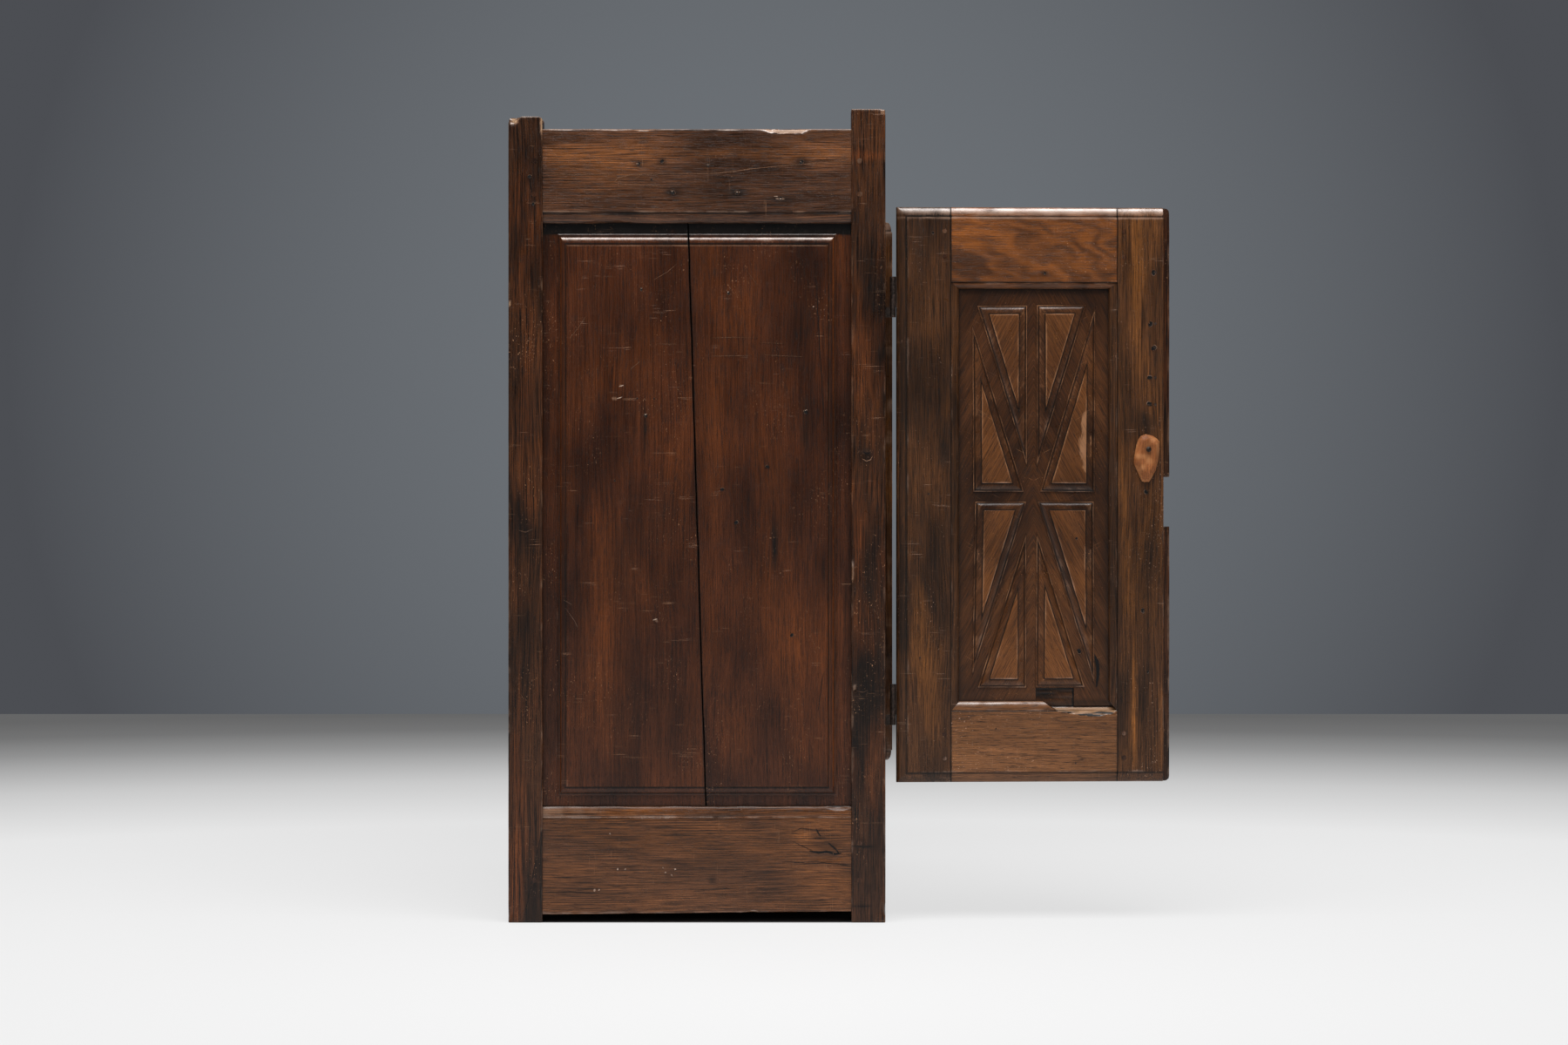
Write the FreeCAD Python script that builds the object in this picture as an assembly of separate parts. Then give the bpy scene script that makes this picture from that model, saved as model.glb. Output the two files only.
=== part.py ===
import FreeCAD
import Part
import math
import os

# Two-door joined cupboard, in millimetres, +Z up.
# The origin is the outer front corner of the left front post, on the floor.
# X runs along the front to the right, Y runs to the back, so the doors lie at negative Y.
# Left and right are those of someone who stands in front of the doors.

V = FreeCAD.Vector

# Driving sizes of the carcase
cupboard_width = 878.0
cupboard_depth = 564.0
front_post_rise = 29.5
back_post_rise = 18.5
post_size = 52.0
rail_underside = 13.7

# Side frames
side_top_rail_depth = 141.5
side_bottom_rail_depth = 160.3
side_rail_thickness = 36.0
side_rail_setback = 2.0
side_tenon_length = 24.0
rail_mould_width = 17.0
rail_mould_depth = 7.0
fillet_step = 1.5

# Front and back frames
front_top_rail_depth = 136.3
front_rail_thickness = 30.0
front_rail_setback = 1.0
front_tenon_length = 38.0
front_tenon_setback = 10.0
back_rail_depth = 160.0
tenon_thickness = 12.0
tenon_haunch = 12.0
mortise_relief = 1.0

# Side panels, each of two boards with an open joint that slants
panel_groove_setback = 14.0
panel_tongue_thickness = 8.0
panel_tongue_reach = 9.0
groove_relief = 1.0
panel_side_margin = 21.5
panel_end_margin = 15.0
panel_mould_width = 13.7
panel_top_mould_width = 17.5
panel_field_setback = 6.0
panel_step = 2.0
panel_joint_gap = 1.3
panel_joint_top_offset = 13.0
panel_joint_bottom_offset = -14.3

# Back boards, top, floor and shelf
back_board_count = 4
back_board_thickness = 12.0
back_board_setback = 11.0
board_gap = 1.0
top_board_thickness = 18.0
top_board_sink = 2.5
floor_board_thickness = 18.0
floor_sink = 38.0
shelf_thickness = 18.0
shelf_height_share = 0.4572
cleat_width = 26.0
cleat_height = 26.0
bearer_thickness = 20.0
bearer_height = 30.0
cleat_end_gap = 1.0

# Doors
door_bottom = 207.6
door_height = 862.0
door_thickness = 21.6
door_lap = 20.4
door_clearance = 0.4
hinge_stile_width = 81.0
meeting_stile_width = 69.6
door_top_rail_width = 112.6
door_bottom_rail_width = 107.0
sticking_width = 12.6
sticking_top_width = 9.6
sticking_bottom_width = 14.0
sticking_depth = 9.0
door_edge_mould_width = 15.6
door_edge_mould_depth = 8.5
door_tenon_length = 40.0
door_tenon_thickness = 8.0
door_tenon_haunch = 14.0
door_open_angle = 87.0

# Carved door panels
door_groove_setback = 4.6
door_tongue_thickness = 6.0
door_tongue_reach = 8.0
door_panel_back_step = 3.0
carving_height = 6.5
carving_fillet = 2.0
carving_border = 13.4
# Outer corners of the eight triangular fields, as shares of the panel's sight opening
# from its hinge side and its bottom.
carving_shares = (
    ((0.124, 0.959), (0.457, 0.960), (0.454, 0.570)),
    ((0.521, 0.961), (0.851, 0.961), (0.521, 0.570)),
    ((0.090, 0.912), (0.095, 0.508), (0.434, 0.508)),
    ((0.913, 0.957), (0.908, 0.507), (0.541, 0.508)),
    ((0.108, 0.484), (0.451, 0.484), (0.090, 0.065)),
    ((0.525, 0.484), (0.902, 0.484), (0.906, 0.043)),
    ((0.449, 0.406), (0.449, 0.033), (0.125, 0.033)),
    ((0.519, 0.410), (0.513, 0.034), (0.840, 0.034)),
)

# Meeting strip behind the free edge of the left door, in two pieces
strip_lap = 25.0
strip_proud = 11.0
strip_thickness = 10.0
strip_corner_radius = 8.0
strip_notch_share = 0.4443
strip_notch_height = 74.0
meeting_gap = 1.5

# Lift-off hinges with leaves let into the wood
hinge_height = 61.0
hinge_post_knuckle_share = 0.25
hinge_knuckle_gap = 0.1
hinge_barrel_diameter = 8.7
hinge_pin_diameter = 4.8
hinge_pin_fit = 0.06
hinge_cap = 4.0
hinge_leaf_thickness = 2.2
hinge_leaf_depth = 30.0
hinge_axis_inset = 26.0
hinge_axis_to_door = 5.6
upper_hinge_drop = 104.0
lower_hinge_rise = 86.0

# Turn-button of the left door
button_inset = 24.0
button_rise_share = 0.579
button_width = 38.9
button_height = 72.4
button_thickness = 11.0
button_rim_thickness = 4.0
button_crown_share = 0.72
button_gap = 0.3
button_nail_diameter = 4.5
button_nail_head_diameter = 8.0
button_nail_head_height = 2.2
button_nail_fit = 0.08
button_nail_bite = 11.0
# Whittled outline, as shares of the button's width and height from its nail
button_shares = (
    (-0.090, 0.317), (-0.285, 0.274), (-0.376, 0.202), (-0.456, 0.088), (-0.550, -0.184),
    (-0.547, -0.297), (-0.480, -0.393), (-0.242, -0.667), (-0.151, -0.683), (0.044, -0.679),
    (0.104, -0.634), (0.299, -0.441), (0.389, -0.249), (0.450, 0.009), (0.450, 0.153),
    (0.359, 0.218), (0.178, 0.283),
)

# Pegs and nails
peg_diameter = 8.0
peg_length = 34.0
peg_from_shoulder = 13.0
peg_height_shares = (0.31, 0.66)
door_peg_diameter = 6.5
door_peg_length = 18.0
door_peg_from_shoulder = 9.8
door_peg_height_shares = (0.34, 0.68)
hole_fit = 0.05
nail_diameter = 3.2
nail_head_diameter = 6.5
nail_head_thickness = 1.4
cleat_nail_length = 42.0
board_nail_length = 36.0
cleat_nail_shares = (-0.7, 0.7)
board_nail_shares = (0.25, 0.75)
strip_nail_diameter = 2.6
strip_nail_head_diameter = 4.2
strip_nail_length = 18.0
upper_strip_nail_shares = (0.27, 0.37, 0.48, 0.57, 0.76)
lower_strip_nail_shares = (0.2, 0.5, 0.8)
leaf_pin_diameter = 2.4
leaf_pin_shares = (0.25, 0.75)
leaf_pin_overrun = 3.0

# One overrun for every cut that has to pass a face
overrun = 5.0
# Share of a quarter round's sides at which its middle point lies
quarter_share = 1 - math.cos(math.radians(45))

# Levels and lines that the sizes above settle
post_inner = cupboard_depth - post_size
side_middle = cupboard_depth / 2
door_top = door_bottom + door_height
rail_top = door_top - door_lap + front_top_rail_depth
front_post_height = rail_top + front_post_rise
back_post_height = rail_top + back_post_rise
side_top_span = (rail_top - side_top_rail_depth, rail_top)
side_bottom_span = (rail_underside, rail_underside + side_bottom_rail_depth)
panel_span = (side_bottom_span[1], side_top_span[0])
front_top_span = (door_top - door_lap, rail_top)
front_bottom_span = (rail_underside, door_bottom + door_lap)
back_top_span = (rail_top - back_rail_depth, rail_top)
back_bottom_span = (rail_underside, rail_underside + back_rail_depth)
side_rail_inner = side_rail_setback + side_rail_thickness
front_rail_inner = front_rail_setback + front_rail_thickness
back_rail_inner = cupboard_depth - front_rail_inner
top_surface = rail_top - top_board_sink
floor_surface = front_bottom_span[1] - floor_sink
shelf_surface = floor_surface + shelf_height_share * (top_surface - floor_surface)

hinge_x = hinge_axis_inset
hinge_y = -(door_clearance + door_thickness / 2)
door_left = hinge_x + hinge_axis_to_door
door_width = (cupboard_width - 2 * door_left - strip_proud - meeting_gap) / 2
door_right = door_left + door_width
door_back = -door_clearance
door_face = door_back - door_thickness
shoulder_left = door_left + hinge_stile_width
shoulder_right = door_right - meeting_stile_width
shoulder_bottom = door_bottom + door_bottom_rail_width
shoulder_top = door_top - door_top_rail_width
sight_left = shoulder_left + sticking_width
sight_right = shoulder_right - sticking_width
sight_bottom = shoulder_bottom + sticking_bottom_width
sight_top = shoulder_top - sticking_top_width
door_tongue_back = door_back - door_groove_setback
door_tongue_front = door_tongue_back - door_tongue_thickness
strip_front = door_back - strip_thickness
notch_bottom = door_bottom + strip_notch_share * door_height
upper_strip_span = (notch_bottom + strip_notch_height, door_top)
lower_strip_span = (door_bottom, notch_bottom)
button_x = door_right - button_inset
button_z = door_bottom + button_rise_share * door_height
post_knuckle_height = hinge_height * hinge_post_knuckle_share
upper_hinge_bottom = door_top - upper_hinge_drop - hinge_height
hinge_bottoms = {"upper": upper_hinge_bottom, "lower": door_bottom + lower_hinge_rise}


def block(x_span, y_span, z_span):
    """Box between two values on each axis, given in either order."""
    spans = (x_span, y_span, z_span)
    low = [min(span) for span in spans]
    size = [abs(span[1] - span[0]) for span in spans]
    return Part.makeBox(size[0], size[1], size[2], V(*low))


def rod(start, direction, length, diameter):
    """Round bar from a start point."""
    return Part.makeCylinder(diameter / 2, length, start, direction)


def drill(shape, holes):
    """Shape without the holes that come near it."""
    box = shape.BoundBox
    near = [hole for hole in holes if hole.BoundBox.intersect(box)]
    return shape.cut(near) if near else shape


def grow(span, amount):
    """Span with both ends moved outwards."""
    return (span[0] - amount, span[1] + amount)


def quarter_round(start, corner, end):
    """Middle and end point of the round that takes the place of a corner."""
    return (corner + (start - corner + end - corner) * quarter_share, end)


def outline(start, *steps):
    """Flat face from a start point: a step is a corner, or the middle and end of an arc."""
    edges = []
    here = start
    for step in steps:
        if isinstance(step, tuple):
            edges.append(Part.Arc(here, step[0], step[1]).toShape())
            here = step[1]
        else:
            edges.append(Part.LineSegment(here, step).toShape())
            here = step
    edges.append(Part.LineSegment(here, start).toShape())
    return Part.Face(Part.Wire(edges))


def mirror(shape):
    """Same piece on the other side of the cupboard's middle plane."""
    return shape.mirror(V(cupboard_width / 2, 0, 0), V(1, 0, 0))


def both_sides(make):
    """Left piece and its mirror image."""
    left = make()
    return {"left": left, "right": mirror(left)}


# Mortise and tenon joints of the carcase


def side_tenon(y_shoulder, y_way, z_span, relief):
    """Tenon of a side rail, or with a relief the mortise that it goes into."""
    x_front = panel_groove_setback + panel_tongue_thickness / 2 - tenon_thickness / 2
    reach = y_way * (side_tenon_length + relief)
    return block(
        (x_front, x_front + tenon_thickness),
        (y_shoulder, y_shoulder + reach),
        grow(z_span, -tenon_haunch),
    )


def cross_tenon(back, z_span, relief):
    """Left tenon of a front or back rail, or with a relief its mortise."""
    y_span = (front_tenon_setback, front_tenon_setback + tenon_thickness)
    if back:
        y_span = (cupboard_depth - y_span[0], cupboard_depth - y_span[1])
    x_span = (post_size, post_size - front_tenon_length - relief)
    return block(x_span, y_span, grow(z_span, -tenon_haunch))


def peg_places():
    """Pegs of the left side joints and the left half of the front and back joints."""
    places = []
    shoulders = ((post_size, -1), (post_inner, 1))
    for z_span in (side_top_span, side_bottom_span):
        for share in peg_height_shares:
            z = z_span[0] + share * (z_span[1] - z_span[0])
            for y_shoulder, way in shoulders:
                places.append((V(0, y_shoulder + way * peg_from_shoulder, z), V(1, 0, 0)))
    x = post_size - peg_from_shoulder
    for z_span in (front_top_span, front_bottom_span):
        for share in peg_height_shares:
            z = z_span[0] + share * (z_span[1] - z_span[0])
            places.append((V(x, 0, z), V(0, 1, 0)))
    for z_span in (back_top_span, back_bottom_span):
        for share in peg_height_shares:
            z = z_span[0] + share * (z_span[1] - z_span[0])
            places.append((V(x, cupboard_depth, z), V(0, -1, 0)))
    return places


def left_pegs(slack):
    """Pegs of the left half, or with a slack their holes."""
    return [rod(point, way, peg_length, peg_diameter + 2 * slack) for point, way in peg_places()]


def nail(place, length, diameter, head_diameter, slack):
    """Nail with a flush flat head, or with a slack its hole."""
    point, way = place
    shank = rod(point, way, length, diameter + 2 * slack)
    return shank.fuse(rod(point, way, nail_head_thickness, head_diameter + 2 * slack))


def left_cleat_nail_places():
    """Nails through the left cleats into the side rails, and the bearer into the posts."""
    places = []
    run = side_middle - post_size
    for z_top in (top_surface - top_board_thickness, floor_surface - floor_board_thickness):
        for share in cleat_nail_shares:
            point = V(side_rail_inner + cleat_width, side_middle + share * run, z_top - cleat_height / 2)
            places.append((point, V(-1, 0, 0)))
    bearer_z = shelf_surface - shelf_thickness - bearer_height / 2
    for y in (post_size * 3 / 4, cupboard_depth - post_size * 3 / 4):
        places.append((V(post_size + bearer_thickness, y, bearer_z), V(-1, 0, 0)))
    return places


def left_board_nail_places():
    """Nails down through the left ends of the top, floor and shelf boards."""
    places = []
    depth = back_rail_inner - front_rail_inner
    cleat_x = side_rail_inner + cleat_width * 3 / 4
    for z in (top_surface, floor_surface):
        for share in board_nail_shares:
            places.append((V(cleat_x, front_rail_inner + share * depth, z), V(0, 0, -1)))
    bearer_x = post_size + bearer_thickness / 2
    for share in board_nail_shares:
        places.append((V(bearer_x, front_rail_inner + share * depth, shelf_surface), V(0, 0, -1)))
    return places


def left_nails(slack):
    """Nails of the left half, or with a slack their holes."""
    sizes = (nail_diameter, nail_head_diameter, slack)
    nails = [nail(place, cleat_nail_length, *sizes) for place in left_cleat_nail_places()]
    nails += [nail(place, board_nail_length, *sizes) for place in left_board_nail_places()]
    return nails


# Hinges, shared by the carcase and the doors


def hinge_bore_bottom(bottom):
    """Level at which the door's knuckle begins."""
    return bottom + post_knuckle_height + hinge_knuckle_gap


def post_leaf(bottom):
    """Post half of a hinge: low knuckle, pin and the leaf let into the post's front."""
    knuckle = rod(V(hinge_x, hinge_y, bottom), V(0, 0, 1), post_knuckle_height, hinge_barrel_diameter)
    pin_length = hinge_height - hinge_cap - hinge_knuckle_gap
    pin = rod(V(hinge_x, hinge_y, bottom), V(0, 0, 1), pin_length, hinge_pin_diameter)
    return drill(knuckle.fuse([pin, post_leaf_plate(bottom)]), post_leaf_pins(hole_fit))


def post_leaf_plate(bottom):
    """Thin plate from the post half's knuckle into the post."""
    half = hinge_leaf_thickness / 2
    return block(
        (hinge_x - half, hinge_x + half),
        (hinge_y, hinge_leaf_depth),
        (bottom, bottom + post_knuckle_height),
    )


def door_leaf(bottom):
    """Door half of a hinge: long knuckle with a blind bore, and the leaf let into the door's edge."""
    low = hinge_bore_bottom(bottom)
    knuckle = rod(V(hinge_x, hinge_y, low), V(0, 0, 1), bottom + hinge_height - low, hinge_barrel_diameter)
    bore_length = hinge_height - post_knuckle_height - hinge_cap
    bore = rod(V(hinge_x, hinge_y, low), V(0, 0, 1), bore_length, hinge_pin_diameter + 2 * hinge_pin_fit)
    return drill(knuckle.fuse(door_leaf_plate(bottom)).cut(bore), door_leaf_pins(hole_fit))


def door_leaf_plate(bottom):
    """Thin plate from the door half's knuckle into the door's edge."""
    half = hinge_leaf_thickness / 2
    return block(
        (hinge_x, door_left + hinge_leaf_depth),
        (hinge_y - half, hinge_y + half),
        (hinge_bore_bottom(bottom), bottom + hinge_height),
    )


def post_leaf_pins(slack):
    """Pins that hold the left post leaves, driven from inside the opening, or their holes."""
    pins = []
    length = post_size - hinge_x + leaf_pin_overrun
    for bottom in hinge_bottoms.values():
        for share in leaf_pin_shares:
            start = V(post_size, hinge_leaf_depth / 2, bottom + share * post_knuckle_height)
            pins.append(rod(start, V(-1, 0, 0), length, leaf_pin_diameter + 2 * slack))
    return pins


def door_leaf_pins(slack):
    """Pins that hold the left door leaves, driven from the door's back, or their holes."""
    pins = []
    length = door_thickness / 2 + leaf_pin_overrun
    for bottom in hinge_bottoms.values():
        low = hinge_bore_bottom(bottom)
        for share in leaf_pin_shares:
            z = low + share * (bottom + hinge_height - low)
            start = V(door_left + hinge_leaf_depth / 2, door_back, z)
            pins.append(rod(start, V(0, -1, 0), length, leaf_pin_diameter + 2 * slack))
    return pins


# Carcase


def carcase_holes():
    """Holes of every peg, nail and pin in the left half of the carcase."""
    return left_pegs(hole_fit) + left_nails(hole_fit) + post_leaf_pins(hole_fit)


def side_panel_groove():
    """Room for the side panel's tongue in the posts and rails."""
    reach = panel_tongue_reach + groove_relief
    return block(
        (panel_groove_setback, panel_groove_setback + panel_tongue_thickness),
        grow((post_size, post_inner), reach),
        grow(panel_span, reach),
    )


def back_board_groove():
    """Room for the back boards in the back posts and back rails."""
    reach = panel_tongue_reach + groove_relief
    y_back = cupboard_depth - back_board_setback
    return block(
        grow((post_size, cupboard_width - post_size), reach),
        (y_back, y_back - back_board_thickness),
        grow((back_bottom_span[1], back_top_span[0]), reach),
    )


def front_post():
    """Left front post with its mortises, panel groove and hinge leaf slots."""
    post = block((0, post_size), (0, post_size), (0, front_post_height))
    cutters = [side_panel_groove()]
    cutters += [side_tenon(post_size, -1, span, mortise_relief) for span in (side_top_span, side_bottom_span)]
    cutters += [cross_tenon(False, span, mortise_relief) for span in (front_top_span, front_bottom_span)]
    cutters += [post_leaf_plate(bottom) for bottom in hinge_bottoms.values()]
    return drill(post.cut(cutters), carcase_holes())


def back_post():
    """Left back post with its mortises and grooves."""
    post = block((0, post_size), (post_inner, cupboard_depth), (0, back_post_height))
    cutters = [side_panel_groove(), back_board_groove()]
    cutters += [side_tenon(post_inner, 1, span, mortise_relief) for span in (side_top_span, side_bottom_span)]
    cutters += [cross_tenon(True, span, mortise_relief) for span in (back_top_span, back_bottom_span)]
    return drill(post.cut(cutters), carcase_holes())


def rail_moulding(z_edge, way):
    """What is planed off a side rail's inner edge to leave a fillet and a quarter round."""
    x_face = side_rail_setback
    y = post_size
    below = z_edge - way * overrun
    z_line = z_edge + way * rail_mould_width
    start = V(x_face + rail_mould_depth, y, z_edge)
    corner = V(x_face + fillet_step, y, z_edge)
    face = outline(
        V(x_face - overrun, y, below),
        V(x_face + rail_mould_depth, y, below),
        start,
        quarter_round(start, corner, V(x_face + fillet_step, y, z_line)),
        V(x_face - overrun, y, z_line),
    )
    return face.extrude(V(0, post_inner - post_size, 0))


def side_rail(z_span, z_edge, way):
    """Left side rail with a tenon at each end, a moulded edge and the panel groove in it."""
    body = block((side_rail_setback, side_rail_inner), (post_size, post_inner), z_span)
    tenons = [side_tenon(post_size, -1, z_span, 0), side_tenon(post_inner, 1, z_span, 0)]
    shape = body.fuse(tenons).cut([rail_moulding(z_edge, way), side_panel_groove()])
    return drill(shape, carcase_holes())


def side_top_rail():
    return side_rail(side_top_span, side_top_span[0], 1)


def side_bottom_rail():
    return side_rail(side_bottom_span, side_bottom_span[1], -1)


def field_section(low, high, low_width, high_width, place):
    """Section of the raised field: a step, a quarter round and a fillet at both ends.

    place turns a distance along the panel and a setback into a point.
    """
    back = panel_groove_setback + panel_tongue_thickness / 2
    margin = panel_groove_setback
    foot = margin - panel_step
    shelf = panel_field_setback + fillet_step
    low_foot = place(low, foot)
    low_shelf = place(low + low_width, shelf)
    high_shelf = place(high - high_width, shelf)
    high_foot = place(high, foot)
    return outline(
        place(low, back),
        low_foot,
        quarter_round(low_foot, place(low, shelf), low_shelf),
        place(low + low_width, panel_field_setback),
        place(high - high_width, panel_field_setback),
        high_shelf,
        quarter_round(high_shelf, place(high, shelf), high_foot),
        place(high, back),
    )


def raised_field():
    """Raised field of the side panel with mitred moulded edges on all four sides."""
    y_low = post_size + panel_side_margin
    y_high = post_inner - panel_side_margin
    z_low = panel_span[0] + panel_end_margin
    z_high = panel_span[1] - panel_end_margin
    widths = (panel_mould_width, panel_mould_width)
    upright = field_section(y_low, y_high, *widths, lambda along, x: V(x, along, z_low))
    widths = (panel_mould_width, panel_top_mould_width)
    level = field_section(z_low, z_high, *widths, lambda along, x: V(x, y_low, along))
    tall = upright.extrude(V(0, 0, z_high - z_low))
    return tall.common(level.extrude(V(0, y_high - y_low, 0)))


def side_panel_boards():
    """Two boards of the left side panel, front one first, with the slanting joint between them."""
    tongue = block(
        (panel_groove_setback, panel_groove_setback + panel_tongue_thickness),
        grow((post_size, post_inner), panel_tongue_reach),
        grow(panel_span, panel_tongue_reach),
    )
    z_low = panel_span[0] - panel_tongue_reach - overrun
    z_high = panel_span[1] + panel_tongue_reach + overrun
    y_low = side_middle + panel_joint_bottom_offset
    y_high = side_middle + panel_joint_top_offset
    slit = outline(
        V(0, y_low, z_low),
        V(0, y_low + panel_joint_gap, z_low),
        V(0, y_high + panel_joint_gap, z_high),
        V(0, y_high, z_high),
    )
    halves = tongue.fuse(raised_field()).cut(slit.extrude(V(side_rail_inner, 0, 0)))
    return sorted(halves.Solids, key=lambda board: board.CenterOfMass.y)


def cross_rail(back, z_span):
    """Front or back rail with a tenon at each end."""
    y_span = (front_rail_setback, front_rail_inner)
    if back:
        y_span = (cupboard_depth - y_span[0], cupboard_depth - y_span[1])
    body = block((post_size, cupboard_width - post_size), y_span, z_span)
    tenon = cross_tenon(back, z_span, 0)
    shape = body.fuse([tenon, mirror(tenon)])
    if back:
        shape = shape.cut(back_board_groove())
    holes = left_pegs(hole_fit)
    return drill(shape, holes + [mirror(hole) for hole in holes])


def back_boards():
    """Back boards side by side in the grooves of the back posts and rails."""
    first = post_size - panel_tongue_reach
    pitch = (cupboard_width - 2 * first + board_gap) / back_board_count
    y_back = cupboard_depth - back_board_setback
    z_span = grow((back_bottom_span[1], back_top_span[0]), panel_tongue_reach)
    boards = []
    for index in range(back_board_count):
        x = first + index * pitch
        boards.append(block((x, x + pitch - board_gap), (y_back, y_back - back_board_thickness), z_span))
    return boards


def notched_board(y_span, z_top, thickness):
    """Board across the cupboard between the side rails, cut out round the posts."""
    board = block(
        (side_rail_inner + board_gap, cupboard_width - side_rail_inner - board_gap),
        y_span,
        (z_top, z_top - thickness),
    )
    corner = post_size + board_gap
    notches = []
    for x_span in ((0, corner), (cupboard_width - corner, cupboard_width)):
        for y_notch in ((0, corner), (cupboard_depth - corner, cupboard_depth)):
            notches.append(block(x_span, y_notch, (z_top + overrun, z_top - thickness - overrun)))
    holes = left_nails(hole_fit)
    return drill(board.cut(notches), holes + [mirror(hole) for hole in holes])


def board_pair(z_top, thickness):
    """Front and back board of the top or the floor."""
    front = notched_board((front_rail_inner, side_middle - board_gap / 2), z_top, thickness)
    back = notched_board((side_middle + board_gap / 2, back_rail_inner), z_top, thickness)
    return {"front": front, "back": back}


def shelf():
    """Shelf board between the posts, resting on the two bearers."""
    board = block(
        (post_size + board_gap, cupboard_width - post_size - board_gap),
        (front_rail_inner, back_rail_inner),
        (shelf_surface - shelf_thickness, shelf_surface),
    )
    holes = left_nails(hole_fit)
    return drill(board, holes + [mirror(hole) for hole in holes])


def cleat(z_top):
    """Left cleat on the inner face of a side rail, between the posts."""
    shape = block(
        (side_rail_inner, side_rail_inner + cleat_width),
        grow((post_size, post_inner), -cleat_end_gap),
        (z_top - cleat_height, z_top),
    )
    return drill(shape, left_nails(hole_fit))


def top_cleat():
    return cleat(top_surface - top_board_thickness)


def floor_cleat():
    return cleat(floor_surface - floor_board_thickness)


def shelf_bearer():
    """Left bearer across the inner faces of the two posts."""
    z_top = shelf_surface - shelf_thickness
    shape = block(
        (post_size, post_size + bearer_thickness),
        (front_rail_inner, back_rail_inner),
        (z_top - bearer_height, z_top),
    )
    return drill(shape, left_nails(hole_fit))


# Doors, drawn closed on the left; the right door is the mirror image without the strip


def door_envelope():
    """Whole door with its fillet and quarter round on the hinge side, top and bottom."""
    edge = door_face + door_edge_mould_depth
    line = door_face + fillet_step
    start = V(door_left + door_edge_mould_width, line, door_bottom)
    level = outline(
        V(door_left, door_back, door_bottom),
        V(door_right, door_back, door_bottom),
        V(door_right, door_face, door_bottom),
        V(door_left + door_edge_mould_width, door_face, door_bottom),
        start,
        quarter_round(start, V(door_left, line, door_bottom), V(door_left, edge, door_bottom)),
    )
    low = V(door_left, edge, door_bottom)
    low_line = V(door_left, line, door_bottom + door_edge_mould_width)
    high = V(door_left, edge, door_top)
    high_line = V(door_left, line, door_top - door_edge_mould_width)
    upright = outline(
        V(door_left, door_back, door_bottom),
        low,
        quarter_round(low, V(door_left, line, door_bottom), low_line),
        V(door_left, door_face, door_bottom + door_edge_mould_width),
        V(door_left, door_face, door_top - door_edge_mould_width),
        high_line,
        quarter_round(high_line, V(door_left, line, door_top), high),
        V(door_left, door_back, door_top),
    )
    tall = level.extrude(V(0, 0, door_height))
    return tall.common(upright.extrude(V(door_width, 0, 0)))


def flare_section(low, high, low_width, high_width, place):
    """Section of the flared panel opening; place turns a distance and a level into a point."""
    line = door_face + fillet_step
    floor = door_face + sticking_depth
    start = place(low, floor)
    end = place(high, floor)
    return outline(
        start,
        quarter_round(start, place(low, line), place(low - low_width, line)),
        place(low - low_width, door_face - overrun),
        place(high + high_width, door_face - overrun),
        place(high + high_width, line),
        quarter_round(place(high + high_width, line), place(high, line), end),
    )


def panel_flare():
    """What the sticking plane removes round the panel opening, with mitred corners."""
    widths = (sticking_width, sticking_width)
    across = flare_section(sight_left, sight_right, *widths, lambda along, y: V(along, y, door_bottom))
    widths = (sticking_bottom_width, sticking_top_width)
    upright = flare_section(sight_bottom, sight_top, *widths, lambda along, y: V(door_left, y, along))
    tall = across.extrude(V(0, 0, door_height))
    return tall.common(upright.extrude(V(door_width, 0, 0)))


def mitred_strip(corners):
    """Moulded strip of a stile or rail beside the opening, from its four corners in X and Z."""
    points = [V(x, door_back, z) for x, z in corners]
    return outline(points[0], *points[1:]).extrude(V(0, -door_thickness, 0))


def door_groove():
    """Room for the carved panel's tongue in the stiles and rails."""
    return block(
        grow((sight_left, sight_right), door_tongue_reach + groove_relief),
        (door_tongue_back, door_tongue_front),
        grow((sight_bottom, sight_top), door_tongue_reach + groove_relief),
    )


def door_tenon(shoulder, way, z_span, relief):
    """Tenon of a door rail, or with a relief its mortise."""
    return block(
        (shoulder, shoulder + way * (door_tenon_length + relief)),
        (door_tongue_back, door_tongue_back - door_tenon_thickness),
        grow(z_span, -door_tenon_haunch),
    )


def door_rail_spans():
    """Flat faces of the bottom rail and the top rail in height."""
    return ((door_bottom, shoulder_bottom), (shoulder_top, door_top))


def door_pegs(slack):
    """Pegs of the four door joints, driven from the front, or with a slack their holes."""
    pegs = []
    for z_span in door_rail_spans():
        for share in door_peg_height_shares:
            z = z_span[0] + share * (z_span[1] - z_span[0])
            for x in (shoulder_left - door_peg_from_shoulder, shoulder_right + door_peg_from_shoulder):
                pegs.append(rod(V(x, door_face, z), V(0, 1, 0), door_peg_length, door_peg_diameter + 2 * slack))
    return pegs


def strip_nails(slack):
    """Nails of the meeting strip: the upper piece from the door's front, the lower from its back."""
    nails = []
    sizes = (strip_nail_length, strip_nail_diameter, strip_nail_head_diameter, slack)
    x = door_right - strip_lap / 2
    runs = ((upper_strip_span, upper_strip_nail_shares, door_face, V(0, 1, 0)),
            (lower_strip_span, lower_strip_nail_shares, door_back, V(0, -1, 0)))
    for z_span, shares, y, way in runs:
        for share in shares:
            z = z_span[0] + share * (z_span[1] - z_span[0])
            nails.append(nail((V(x, y, z), way), *sizes))
    return nails


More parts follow.
